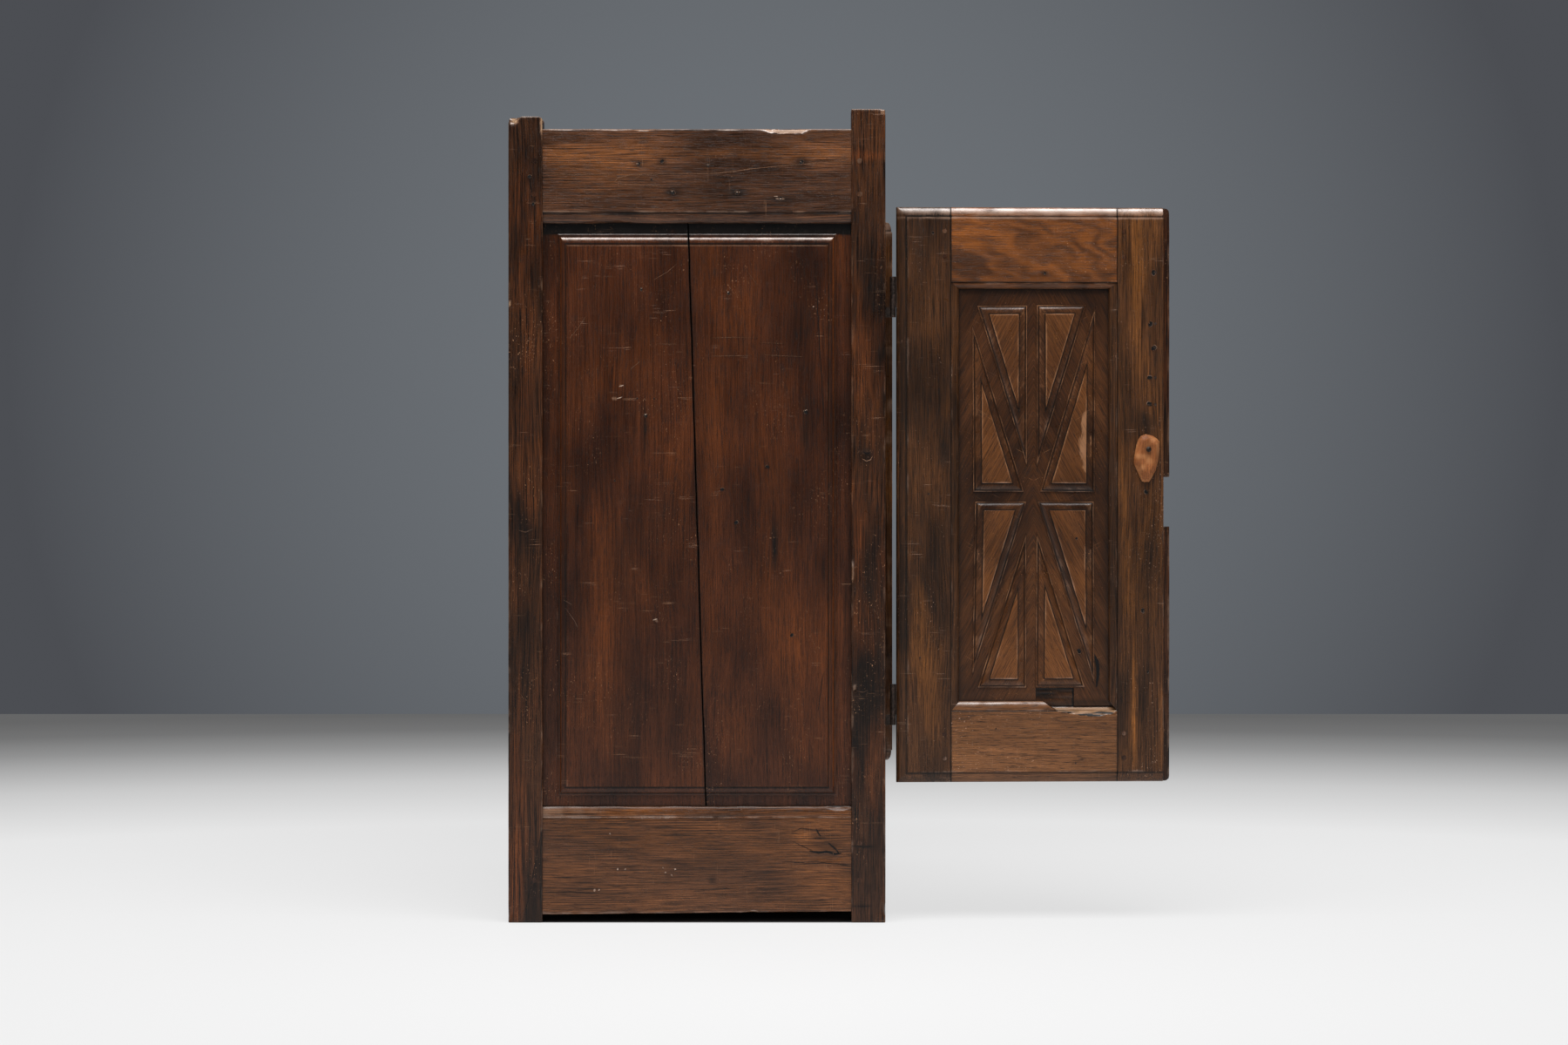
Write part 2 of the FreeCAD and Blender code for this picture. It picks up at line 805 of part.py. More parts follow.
def button_nail(slack):
    """Nail that the button turns on, driven into the meeting stile."""
    seat = door_face - button_gap - button_thickness - button_gap
    length = door_face - seat + button_nail_bite
    shank = rod(V(button_x, seat, button_z), V(0, 1, 0), length, button_nail_diameter + 2 * slack)
    if slack:
        return shank
    radius = button_nail_head_diameter / 2
    head = Part.makeCone(radius, radius / 2, button_nail_head_height, V(button_x, seat, button_z), V(0, -1, 0))
    return shank.fuse(head)


def strip_rebate():
    """Room for the meeting strip at the back of the meeting stile."""
    return block(
        (door_right - strip_lap, door_right + overrun),
        (door_back + overrun, strip_front),
        grow((door_bottom, door_top), overrun),
    )


def door_member(blank, cutters, holes):
    """Stile or rail: its blank inside the moulded door, without the opening's flare."""
    shape = blank.common(door_envelope()).cut([panel_flare(), door_groove()] + cutters)
    return drill(shape, holes)


def hinge_stile():
    """Hinge stile with two mortises and the slots of the hinge leaves."""
    body = block((door_left, shoulder_left), (door_back, door_face), (door_bottom, door_top))
    strip = mitred_strip((
        (shoulder_left, shoulder_bottom), (sight_left, sight_bottom),
        (sight_left, sight_top), (shoulder_left, shoulder_top),
    ))
    cutters = [door_tenon(shoulder_left, -1, span, mortise_relief) for span in door_rail_spans()]
    cutters += [door_leaf_plate(bottom) for bottom in hinge_bottoms.values()]
    return door_member(body.fuse(strip), cutters, door_pegs(hole_fit) + door_leaf_pins(hole_fit))


def meeting_stile(with_strip):
    """Meeting stile; on the left door it is rebated for the strip and bored for nails."""
    body = block((shoulder_right, door_right), (door_back, door_face), (door_bottom, door_top))
    strip = mitred_strip((
        (shoulder_right, shoulder_bottom), (sight_right, sight_bottom),
        (sight_right, sight_top), (shoulder_right, shoulder_top),
    ))
    cutters = [door_tenon(shoulder_right, 1, span, mortise_relief) for span in door_rail_spans()]
    holes = door_pegs(hole_fit)
    if with_strip:
        cutters.append(strip_rebate())
        holes = holes + strip_nails(hole_fit) + [button_nail(hole_fit)]
    return door_member(body.fuse(strip), cutters, holes)


def door_rail(z_span, shoulder_z, sight_z):
    """Top or bottom rail of a door with a tenon at each end."""
    body = block((shoulder_left, shoulder_right), (door_back, door_face), z_span)
    strip = mitred_strip((
        (shoulder_left, shoulder_z), (shoulder_right, shoulder_z),
        (sight_right, sight_z), (sight_left, sight_z),
    ))
    tenons = [door_tenon(shoulder_left, -1, z_span, 0), door_tenon(shoulder_right, 1, z_span, 0)]
    return door_member(body.fuse([strip] + tenons), [], door_pegs(hole_fit))


def door_bottom_rail():
    return door_rail(door_rail_spans()[0], shoulder_bottom, sight_bottom)


def door_top_rail():
    return door_rail(door_rail_spans()[1], shoulder_top, sight_top)


def inset_triangle(corners, distance):
    """Triangle with every side moved inwards: its corners drawn towards the inner circle's centre."""
    sides = [
        (corners[1] - corners[2]).Length,
        (corners[2] - corners[0]).Length,
        (corners[0] - corners[1]).Length,
    ]
    around = sum(sides)
    centre = (corners[0] * sides[0] + corners[1] * sides[1] + corners[2] * sides[2]) * (1 / around)
    area = (corners[1] - corners[0]).cross(corners[2] - corners[0]).Length / 2
    keep = 1 - distance * around / (2 * area)
    return [centre + (corner - centre) * keep for corner in corners]


def carved_field(shares):
    """One triangular field: a low step with a slope that rises to its flat top."""
    width = sight_right - sight_left
    height = sight_top - sight_bottom
    ground = [
        V(sight_left + across * width, door_tongue_front, sight_bottom + up * height)
        for across, up in shares
    ]
    step = outline(ground[0], *ground[1:]).extrude(V(0, -carving_fillet, 0))
    foot = [point + V(0, -carving_fillet, 0) for point in ground]
    crown = [point + V(0, carving_fillet - carving_height, 0) for point in inset_triangle(foot, carving_border)]
    rings = [Part.makePolygon(points + [points[0]]) for points in (foot, crown)]
    return step.fuse(Part.makeLoft(rings, True, True))


def carved_panel():
    """Door panel in its groove, with the eight carved fields on its front."""
    tongue = block(
        grow((sight_left, sight_right), door_tongue_reach),
        (door_tongue_back, door_tongue_front),
        grow((sight_bottom, sight_top), door_tongue_reach),
    )
    swell = block(
        grow((sight_left, sight_right), -groove_relief),
        (door_tongue_back + door_panel_back_step, door_tongue_back),
        grow((sight_bottom, sight_top), -groove_relief),
    )
    fields = [carved_field(shares) for shares in carving_shares]
    return tongue.fuse([swell] + fields)


def meeting_strip(z_span, round_top):
    """One piece of the meeting strip, with its outer end corner rounded."""
    inner = door_right - strip_lap
    outer = door_right + strip_proud
    low, high = z_span
    if round_top:
        bend = V(outer, door_back, high - strip_corner_radius)
        tip = V(outer - strip_corner_radius, door_back, high)
        corners = [V(inner, door_back, low), V(outer, door_back, low), bend,
                   quarter_round(bend, V(outer, door_back, high), tip), V(inner, door_back, high)]
    else:
        tip = V(outer - strip_corner_radius, door_back, low)
        bend = V(outer, door_back, low + strip_corner_radius)
        corners = [V(inner, door_back, low), tip,
                   quarter_round(tip, V(outer, door_back, low), bend),
                   V(outer, door_back, high), V(inner, door_back, high)]
    shape = outline(corners[0], *corners[1:]).extrude(V(0, -strip_thickness, 0))
    return drill(shape, strip_nails(hole_fit))


def turn_button():
    """Whittled button: a rim that slopes in to a smaller flat crown, bored for its nail."""
    levels = (
        (door_face - button_gap, 1),
        (door_face - button_gap - button_rim_thickness, 1),
        (door_face - button_gap - button_thickness, button_crown_share),
    )
    rings = []
    for y, scale_share in levels:
        points = [
            V(button_x + across * button_width * scale_share, y, button_z + up * button_height * scale_share)
            for across, up in button_shares
        ]
        rings.append(Part.makePolygon(points + [points[0]]))
    return Part.makeLoft(rings, True, True).cut(button_nail(button_nail_fit))


def left_door():
    """Pieces that ride on the left door, drawn closed."""
    pieces = {
        "left_door_hinge_stile": hinge_stile(),
        "left_door_meeting_stile": meeting_stile(True),
        "left_door_top_rail": door_top_rail(),
        "left_door_bottom_rail": door_bottom_rail(),
        "left_door_panel": carved_panel(),
        "left_door_strip_upper": meeting_strip(upper_strip_span, True),
        "left_door_strip_lower": meeting_strip(lower_strip_span, False),
        "left_door_pegs": Part.makeCompound(door_pegs(0)),
        "left_door_nails": Part.makeCompound(strip_nails(0) + door_leaf_pins(0)),
        "turn_button_nail": button_nail(0),
        "turn_button": turn_button(),
    }
    for name, bottom in hinge_bottoms.items():
        pieces["left_door_hinge_leaf_" + name] = door_leaf(bottom)
    return pieces


def right_door():
    """Pieces that ride on the right door, closed."""
    pieces = {
        "right_door_hinge_stile": hinge_stile(),
        "right_door_meeting_stile": meeting_stile(False),
        "right_door_top_rail": door_top_rail(),
        "right_door_bottom_rail": door_bottom_rail(),
        "right_door_panel": carved_panel(),
        "right_door_pegs": Part.makeCompound(door_pegs(0)),
        "right_door_nails": Part.makeCompound(door_leaf_pins(0)),
    }
    for name, bottom in hinge_bottoms.items():
        pieces["right_door_hinge_leaf_" + name] = door_leaf(bottom)
    return {name: mirror(shape) for name, shape in pieces.items()}


def carcase():
    """Every piece that stays put."""
    pieces = {}
    for name, make in (
        ("front_post", front_post),
        ("back_post", back_post),
        ("side_top_rail", side_top_rail),
        ("side_bottom_rail", side_bottom_rail),
        ("side_panel_front_board", lambda: side_panel_boards()[0]),
        ("side_panel_back_board", lambda: side_panel_boards()[1]),
        ("top_cleat", top_cleat),
        ("floor_cleat", floor_cleat),
        ("shelf_bearer", shelf_bearer),
        ("post_hinge_leaf_upper", lambda: post_leaf(hinge_bottoms["upper"])),
        ("post_hinge_leaf_lower", lambda: post_leaf(hinge_bottoms["lower"])),
    ):
        for side, shape in both_sides(make).items():
            pieces[side + "_" + name] = shape
    pieces["front_top_rail"] = cross_rail(False, front_top_span)
    pieces["front_bottom_rail"] = cross_rail(False, front_bottom_span)
    pieces["back_top_rail"] = cross_rail(True, back_top_span)
    pieces["back_bottom_rail"] = cross_rail(True, back_bottom_span)
    for index, shape in enumerate(back_boards()):
        pieces["back_board_" + str(index + 1)] = shape
    for place, shape in board_pair(top_surface, top_board_thickness).items():
        pieces["top_board_" + place] = shape
    for place, shape in board_pair(floor_surface, floor_board_thickness).items():
        pieces["floor_board_" + place] = shape
    pieces["shelf_board"] = shelf()
    for name, shapes in (
        ("frame_pegs", left_pegs(0)),
        ("carcase_nails", left_nails(0) + post_leaf_pins(0)),
    ):
        pieces[name] = Part.makeCompound(shapes + [mirror(shape) for shape in shapes])
    return pieces


def swing_open(shape):
    """Left door piece turned about the hinge pins to where the door rests."""
    turned = shape.copy()
    turned.rotate(V(hinge_x, hinge_y, 0), V(0, 0, 1), -door_open_angle)
    return turned


os.makedirs("parts", exist_ok=True)
nodes = carcase()
nodes.update(right_door())
nodes.update({name: swing_open(shape) for name, shape in left_door().items()})
for name, shape in nodes.items():
    shape.exportStep("parts/" + name + ".step")
print(len(nodes), "nodes; door width", round(door_width, 2))
print("hinge axis of the left door at", round(hinge_x, 3), round(hinge_y, 3))
print("button nail, closed, at", round(button_x, 3), round(door_face, 3), round(button_z, 3))
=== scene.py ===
# %% [markdown]
# # An old two-door cupboard, dressed for its portrait
# The cupboard is joined oak and softwood work: posts, moulded rails and panels that sit loose in
# grooves. The CAD model already holds every size. This script gives each piece the surface of old
# waxed wood: softened arrises, dents, open joints, streaky grain and dark corners.

# %% Load the measured model
import itertools
import math
import bpy
import numpy as np
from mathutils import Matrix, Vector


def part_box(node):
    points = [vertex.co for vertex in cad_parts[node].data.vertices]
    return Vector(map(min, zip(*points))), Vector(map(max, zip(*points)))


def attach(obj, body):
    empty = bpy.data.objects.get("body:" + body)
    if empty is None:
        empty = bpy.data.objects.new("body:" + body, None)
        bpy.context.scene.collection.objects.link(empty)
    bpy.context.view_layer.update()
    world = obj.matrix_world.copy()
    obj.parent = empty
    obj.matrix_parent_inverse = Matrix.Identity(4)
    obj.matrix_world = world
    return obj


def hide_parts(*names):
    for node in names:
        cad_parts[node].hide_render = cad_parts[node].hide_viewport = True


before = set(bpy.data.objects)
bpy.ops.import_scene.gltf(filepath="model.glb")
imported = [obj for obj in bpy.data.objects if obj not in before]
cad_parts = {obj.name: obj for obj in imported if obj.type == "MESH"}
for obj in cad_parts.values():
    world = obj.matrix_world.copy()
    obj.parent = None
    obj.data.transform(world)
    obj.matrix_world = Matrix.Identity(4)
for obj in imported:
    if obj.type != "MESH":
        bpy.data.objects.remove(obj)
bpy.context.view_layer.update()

MM = 0.001
# Sizes of the cupboard in millimetres, and the millimetre by which rails are tucked into the posts
width, depth, post_size, tuck = 878.0, 564.0, 52.0, 1.0

# %% [markdown]
# ## A random field that is the same on every run
# Wear is never even. Random values on the points of a cubic lattice, blended smoothly between the
# eight points around a place, give a field that can roughen an arris or fade a patch. The values
# come from a hash of the lattice numbers, so no random generator has to be seeded.

# %% Lattice noise
lattice_primes = (73856093, 19349663, 83492791)
seed_prime = 2654435761
mixing_rounds = ((15, 2246822519), (13, 3266489917))
last_shift = 16
word = 0xFFFFFFFF


def noise(points, cell, seed):
    """Smooth field from -1 to 1: hashed lattice values, weighted by 3f^2 - 2f^3 on each axis."""
    scaled = points / cell
    corner = np.floor(scaled)
    blend = scaled - corner
    blend = blend * blend * (3 - 2 * blend)
    corner = corner.astype(np.int64)
    total = np.zeros(points.shape[:-1])
    for step in itertools.product((0, 1), repeat=3):
        key = (corner + step) * lattice_primes
        mixed = (key[..., 0] ^ key[..., 1] ^ key[..., 2]) + seed * seed_prime
        mixed = (mixed & word).astype(np.uint64)
        for shift, factor in mixing_rounds:
            mixed = ((mixed ^ (mixed >> np.uint64(shift))) * np.uint64(factor)) & np.uint64(word)
        value = (mixed ^ (mixed >> np.uint64(last_shift))) / 2.0 ** 31 - 1
        total += value * np.prod(np.where(step, blend, 1 - blend), axis=-1)
    return total


def noise_at(x, y, z, cell, seed):
    """Noise at separate coordinates; one that is the same everywhere may be a plain number."""
    return noise(np.stack(np.broadcast_arrays(x, y, z), axis=-1), cell, seed)


def span(node, axis):
    """Low and high value of a CAD node on one axis, in millimetres."""
    low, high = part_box(node)
    index = "xyz".index(axis)
    return low[index] / MM, high[index] / MM


print("noise sample", round(float(noise(np.array([(12.5, 3.2, 8.8)]), 5.0, 1)[0]), 4))

# %% [markdown]
# ## Closed shells
# Two kinds of grid make nearly every piece. A tube carries a closed section along a length and ends
# in two poles. A slab has a front grid, a back grid and a wall between their borders. Both are
# closed, so their volume has a sign, and that sign says whether the faces look outwards.

# %% Faces of tubes and slabs
def tube_faces(rows, count):
    """Quads between neighbouring sections of a tube, and two fans that close it onto its poles."""
    here = np.arange(rows * count).reshape(rows, count)
    after = np.roll(here, -1, axis=1)
    quads = np.stack((here[:-1], after[:-1], after[1:], here[1:]), axis=-1).reshape(-1, 4)
    pole = np.full(count, rows * count)
    first = np.stack((after[0], here[0], pole), axis=-1)
    last = np.stack((here[-1], after[-1], pole + 1), axis=-1)
    return quads, np.concatenate((first, last))


def slab_faces(rows, count):
    """Quads of a front grid, of a back grid turned over, and of the wall round their border."""
    front = np.arange(rows * count).reshape(rows, count)
    quads = np.stack((front[:-1, :-1], front[:-1, 1:], front[1:, 1:], front[1:, :-1]), axis=-1)
    quads = quads.reshape(-1, 4)
    border = np.concatenate((front[0, :-1], front[:-1, -1], front[-1, :0:-1], front[:0:-1, 0]))
    after = np.roll(border, -1)
    size = rows * count
    wall = np.stack((after, border, border + size, after + size), axis=-1)
    return np.concatenate((quads, quads[:, ::-1] + size, wall)), np.zeros((0, 3), np.int64)


def outward(points, quads, triangles):
    """Faces turned over when the signed volume, the sum of a . (b x c) / 6, is negative."""
    halves = np.concatenate((quads[:, :3], quads[:, [0, 2, 3]], triangles))
    a, b, c = (points[halves[:, index]] for index in range(3))
    if np.einsum("ij,ij->", a, np.cross(b, c)) < 0:
        return quads[:, ::-1], triangles[:, ::-1]
    return quads, triangles


print("a tube of 2 sections with 3 corners has", len(tube_faces(2, 3)[0]), "quads")

# %% [markdown]
# ## From shells to a finished piece
# A piece may be one shell or several, such as the eight fields of a carved panel. Besides its shape
# a shell carries two attributes. "grain" holds the place in the timber (across, depth, along), so
# one wood material fits boards that lie in any direction. The other holds wear with painted
# highlights, grime with painted shade, and warmth.

# %% Make a Blender object from shells
tally = {"triangles": 0, "pieces": 0}
sharp_angle = math.radians(38)


def shell(points, faces, grain, finish):
    """One closed shell; points and grain in millimetres."""
    return {"points": points, "faces": faces, "grain": grain, "finish": finish}


def piece(name, shells, material, body, slot, *replaced):
    """Object made of closed shells, which rides on a body and stands for CAD nodes."""
    starts = np.cumsum([0] + [len(part["points"]) for part in shells[:-1]])
    points = np.concatenate([part["points"] for part in shells])
    turned = [outward(part["points"], *part["faces"]) for part in shells]
    quads = np.concatenate([faces[0] + start for faces, start in zip(turned, starts)])
    triangles = np.concatenate([faces[1] + start for faces, start in zip(turned, starts)])
    mesh = bpy.data.meshes.new(name)
    mesh.vertices.add(len(points))
    mesh.vertices.foreach_set("co", (points * MM).ravel())
    mesh.loops.add(quads.size + triangles.size)
    mesh.loops.foreach_set("vertex_index", np.concatenate((quads.ravel(), triangles.ravel())))
    mesh.polygons.add(len(quads) + len(triangles))
    sizes = np.concatenate((np.full(len(quads), 4), np.full(len(triangles), 3)))
    mesh.polygons.foreach_set("loop_start", np.cumsum(sizes) - sizes)
    mesh.update(calc_edges=True)
    mesh.validate()
    for attribute, scale in (("grain", MM), ("finish", 1.0)):
        layer = mesh.attributes.new(attribute, "FLOAT_VECTOR", "POINT")
        values = np.concatenate([part[attribute] for part in shells]) * scale
        layer.data.foreach_set("vector", values.ravel().astype(np.float32))
    mesh.polygons.foreach_set("use_smooth", np.ones(len(mesh.polygons), bool))
    mesh.set_sharp_from_angle(angle=sharp_angle)
    mesh.materials.append(material)
    built = bpy.data.objects.new(name, mesh)
    bpy.context.scene.collection.objects.link(built)
    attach(built, body)
    if replaced:
        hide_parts(*replaced)
    tally["triangles"] += 2 * len(quads) + len(triangles)
    tally["pieces"] += 1
    return built


# %% [markdown]
# ## Shader sums written as Python
# A wood material is mostly arithmetic on a few noise textures. Wrapping a socket in a small class
# lets `1 - mask` or `streak * 0.4 + 0.8` add the Math nodes by itself. Every other node comes from
# one method that takes the node's type, its settings and what its sockets get.

# %% A socket that can be added and multiplied
class Wire:
    """Output socket of a material; sums on it become Math nodes."""

    def __init__(self, tree, socket=None):
        self.tree = tree
        self.socket = socket

    def node(self, kind, settings, inputs, output=0):
        """Any node: settings first, then a value or a link for each named or numbered socket."""
        made = self.tree.nodes.new(kind)
        for key, value in settings.items():
            setattr(made, key, value)
        for key, value in inputs.items():
            if isinstance(value, Wire):
                self.tree.links.new(value.socket, made.inputs[key])
            else:
                made.inputs[key].default_value = value
        return Wire(self.tree, made.outputs[output])

    def math(self, operation, first, second):
        return self.node("ShaderNodeMath", {"operation": operation}, {0: first, 1: second})

    def __add__(self, other):
        return self.math("ADD", self, other)

    def __mul__(self, other):
        return self.math("MULTIPLY", self, other)

    def __sub__(self, other):
        return self.math("SUBTRACT", self, other)

    def __rsub__(self, other):
        return self.math("SUBTRACT", other, self)

    def __pow__(self, other):
        return self.math("POWER", self, other)

    __radd__ = __add__
    __rmul__ = __mul__

    def ramp(self, low, high):
        """Straight rise from 0 at low to 1 at high, held at both ends."""
        return self.node("ShaderNodeMapRange", {"clamp": True}, {0: self, 1: low, 2: high})

    def axis(self, index):
        """One number of a vector: 0, 1 or 2."""
        return self.node("ShaderNodeSeparateXYZ", {}, {0: self}, index)

    def shaded(self, factor):
        """Colour multiplied by a number."""
        return self.node("ShaderNodeVectorMath", {"operation": "SCALE"}, {0: self, 3: factor})

    def stretch(self, scale):
        """Vector multiplied on each axis."""
        settings = {"operation": "MULTIPLY"}
        return self.node("ShaderNodeVectorMath", settings, {0: self, 1: scale})

    def fuzz(self, scale, detail, roughness=0.5):
        """Noise texture on a stretched vector, from 0 to 1."""
        settings = {"noise_dimensions": "3D"}
        inputs = {"Vector": self.stretch(scale), "Scale": 1.0, "Detail": detail}
        inputs["Roughness"] = roughness
        return self.node("ShaderNodeTexNoise", settings, inputs)

    def blend(self, first, second):
        """Colour that goes from the first to the second as this value goes from 0 to 1."""
        settings = {"data_type": "RGBA"}
        return self.node("ShaderNodeMix", settings, {0: self, 6: first, 7: second}, 2)


# %% [markdown]
# ## Helpers for materials
# One helper links the sockets that change over the surface, and another sets those that don't.
# Colours are given as a screen shows them and made linear.

# %% Helpers for materials
def colour(red, green, blue):
    """Colour for a socket from the 0 to 255 values that a screen shows."""
    screen = np.array((red, green, blue)) / 255
    linear = np.where(screen < 0.04045, screen / 12.92, ((screen + 0.055) / 1.055) ** 2.4)
    return (*linear.tolist(), 1.0)


def material_start(name):
    """New node material: its starting wire and its Principled shader."""
    material = bpy.data.materials.new(name)
    material.use_nodes = True
    tree = material.node_tree
    return material, Wire(tree), tree.nodes["Principled BSDF"]


def plug(tree, shader, **wires):
    """Link wires to the shader's sockets; underscores stand for spaces."""
    for key, wire in wires.items():
        tree.links.new(wire.socket, shader.inputs[key.replace("_", " ")])


def fix(shader, **values):
    """Set the shader's own sockets; underscores stand for spaces."""
    for key, value in values.items():
        shader.inputs[key.replace("_", " ")].default_value = value


def object_place(start):
    """Object coordinates: metres in the shared frame."""
    return start.node("ShaderNodeTexCoord", {}, {}, 3)


def relief(start, shader, height, strength, distance):
    """Bump from a height, linked to the shader's Normal."""
    inputs = {"Strength": strength, "Distance": distance, "Height": height}
    plug(start.tree, shader, Normal=start.node("ShaderNodeBump", {}, inputs))


def camera_or_gloss(start):
    """1 for a ray that the camera or a reflection sends, else 0."""
    rays = [start.node("ShaderNodeLightPath", {}, {}, index) for index in (0, 3)]
    return start.math("MAXIMUM", *rays)


print("a screen's middle grey is", round(colour(128, 128, 128)[0], 3), "for a socket")


# %% [markdown]
# ## Old waxed wood
# Four layers make the look. Broad streaks and blotches set the tone. Thin fibres and dark pores run
# along the grain. Wear and painted highlights turn the arrises pale, and grime, old wax and painted
# shade darken the corners. Last come small nicks and specks. The wax gives a satin shine that the
# pores break up.

# %% Layers of the wood
# Waves per metre of each noise: across the grain, through the board, along the grain
waves = {
    "blotch": (15, 15, 6.0), "streak": (42, 42, 9.0), "vein": (190, 190, 6.5), "pore": (1500, 1500, 60),
    "smudge": (55, 55, 40), "bend": (38, 38, 2.0), "curl": (21, 21, 12), "flame": (34, 34, 26),
    "nick": (520, 520, 330), "nick_patch": (17, 17, 9), "scratch": (26, 26, 1500),
    "scratch_patch": (23, 23, 60), "handling": (30, 30, 30),
}
# Black for thick grime, dark cracks and the deepest painted shade
black_dirt = (0.0022, 0.0016, 0.0013, 1.0)
coat_roughness, coat_density = 0.27, 2.2


def place_and_finish_and_light(start, plain):
    """Place in the timber, wear, grime and warmth: attributes, or only noise on a CAD piece."""
    # Wear also carries painted highlights, and grime painted shade
    if plain:
        grain = object_place(start)
        lows = (0.5, 0.6, 0.4)
        return grain, *(grain.fuzz(waves["handling"], 1).ramp(low, 0.9) for low in lows)
    grain = start.node("ShaderNodeAttribute", {"attribute_name": "grain"}, {}, 1)
    finish = start.node("ShaderNodeAttribute", {"attribute_name": "finish"}, {}, 1)
    return grain, *(finish.axis(index) for index in range(3))


def flames(grain, across, flame):
    """Broad bands, a sine of a slanting line that noise bends until it curls, in soft patches."""
    curl = across * 140 + grain.axis(2) * 70 + grain.fuzz(waves["curl"], 2, 0.45) * 30
    return (grain.math("SINE", curl, 0.0) * 0.5) * (grain.fuzz(waves["flame"], 2) * 1.4 * flame)


def nicks_and_scratches(grain):
    """Small knocks in patches and long thin scratches: the greater of two masks."""
    nick = grain.fuzz(waves["nick"], 2).ramp(0.68, 0.72) * grain.fuzz(waves["nick_patch"], 2).ramp(0.5, 0.68)
    scratch = grain.fuzz(waves["scratch"], 2, 0.4).ramp(0.66, 0.72)
    scratch = scratch * grain.fuzz(waves["scratch_patch"], 1).ramp(0.6, 0.7)
    return grain.math("MAXIMUM", nick, scratch * 0.7)


print("noises in the wood:", ", ".join(waves))

# %% [markdown]
# ## One function for every wood
# A picture of wood would stretch on long rails. Here the tone is worked out from the place in the
# timber, and the attributes say where it is rubbed, torn or dirty and where highlights and shade
# are painted.

# %% The wood material
def wood(name, dark, middle, warm, worn=(150, 110, 80), torn_tone=(178, 146, 112), shine=0.28,
         coat=0.05, gloss=0.24, figure=0.4, contrast=1.2, pores=0.6, ring_pitch=3.4, bend=16.0,
         rings=0.35, flame=0.0, specks=0.5, fibre=640, plain=False):
    """Waxed wood of three tones. A plain one reads Object coordinates, for pieces of the CAD model.

    Rings are the fourth power of a sine of the place across the grain, bent by noise. Rubbed wood
    and painted highlights go towards the worn tone, broken wood and painted glints (wear near 1)
    towards the torn tone, and grime and painted shade towards soot and then black.
    """
    material, start, shader = material_start(name)
    grain, wear, grime_and_shade, warmth = place_and_finish_and_light(start, plain)
    blotch = grain.fuzz(waves["blotch"], 2, 0.5).ramp(0.34, 0.64)
    streak = grain.fuzz(waves["streak"], 2, 0.45).ramp(0.3, 0.7)
    hair = grain.fuzz((fibre, fibre, 14), 3, 0.68).ramp(0.32, 0.68)
    vein = grain.fuzz(waves["vein"], 3, 0.6).ramp(0.3, 0.7)
    pore = grain.fuzz(waves["pore"], 1).ramp(0.58, 0.66)
    smudge = grain.fuzz(waves["smudge"], 5, 0.65)
    across = grain.axis(0)
    phase = across * (2 * math.pi / (ring_pitch * MM)) + grain.fuzz(waves["bend"], 2) * bend
    ring = (start.math("SINE", phase, 0.0) * 0.5 + 0.5) ** 4
    warming = streak * figure + warmth
    if flame:
        warming = warming + flames(grain, across, flame)
    tone = blotch.blend(colour(*dark), colour(*middle))
    tone = warming.ramp(0.1, 1.0).blend(tone, colour(*warm))
    shade = (hair - 0.5) * contrast + (vein - 0.5) * (0.12 * contrast) + 0.98
    tone = tone.shaded(shade * (1 - ring * rings) * (1 - pore * pores))
    # The worn tone takes rubbed wood and painted highlights, the torn tone broken wood and painted glints
    rubbed_and_highlight = (wear * 1.3 + (smudge - 0.5) * 1.2 + (hair - 0.5) * 0.3).ramp(0.15, 1.1)
    rubbed_and_highlight = rubbed_and_highlight * (wear * 6).ramp(0.0, 1.0)
    tone = (rubbed_and_highlight * 0.7).blend(tone, colour(*worn))
    torn = wear.ramp(0.86, 0.98) * (vein * 0.6 + 0.4)
    tone = (torn * 0.85).blend(tone, colour(*torn_tone))
    # Grime and painted shade darken towards soot, and past 1 to black
    soot_and_shade = colour(*(value * 0.3 for value in dark))
    tone = ((smudge * 0.9 + 0.55) * grime_and_shade).ramp(0.0, 1.0).blend(tone, soot_and_shade)
    tone = (grime_and_shade - 1).ramp(0.0, 0.5).blend(tone, black_dirt)
    marks = nicks_and_scratches(grain)
    fresh = colour(*(min(255, value * 1.25) for value in worn))
    plug(start.tree, shader, Base_Color=(marks * specks).blend(tone, fresh))
    rough = (smudge - 0.5) * 0.25 + shine + pore * 0.2 + torn * 0.4 + grime_and_shade * 0.12
    waxed = rubbed_and_highlight * (1 - wear.ramp(0.84, 0.92)) * (1 - grime_and_shade).ramp(0.0, 0.9)
    plug(start.tree, shader, Roughness=rough, Coat_Weight=waxed * (coat * 16) + coat)
    height = hair * 0.5 + vein * 0.35 - pore * 0.8 - ring * 0.3 + smudge * 0.8 - marks * 1.2
    relief(start, shader, height, 0.5, 0.00022)
    fix(shader, Specular_IOR_Level=gloss, Coat_Roughness=coat_roughness, Coat_IOR=coat_density)
    return material


# %% [markdown]
# ## The woods of this cupboard
# Posts, rails, panels and doors were cut from different boards, and each took the wax in its own
# way. So every wood has its own dark, middle and warm tone and its own share of streaks, rings and
# fibres, set by comparing renders with the photograph. Wood inside the cupboard was never waxed.

# %% Wood materials
# Worn tone of the doors, made light because it also paints the highlights on their mouldings
door_worn_and_highlight = (172, 136, 112)
frame_wood = wood("waxed_frame_wood", (27, 14, 6), (68, 39, 20), (118, 62, 26), contrast=2.0,
                  specks=0.7, rings=0.15, figure=0.36)
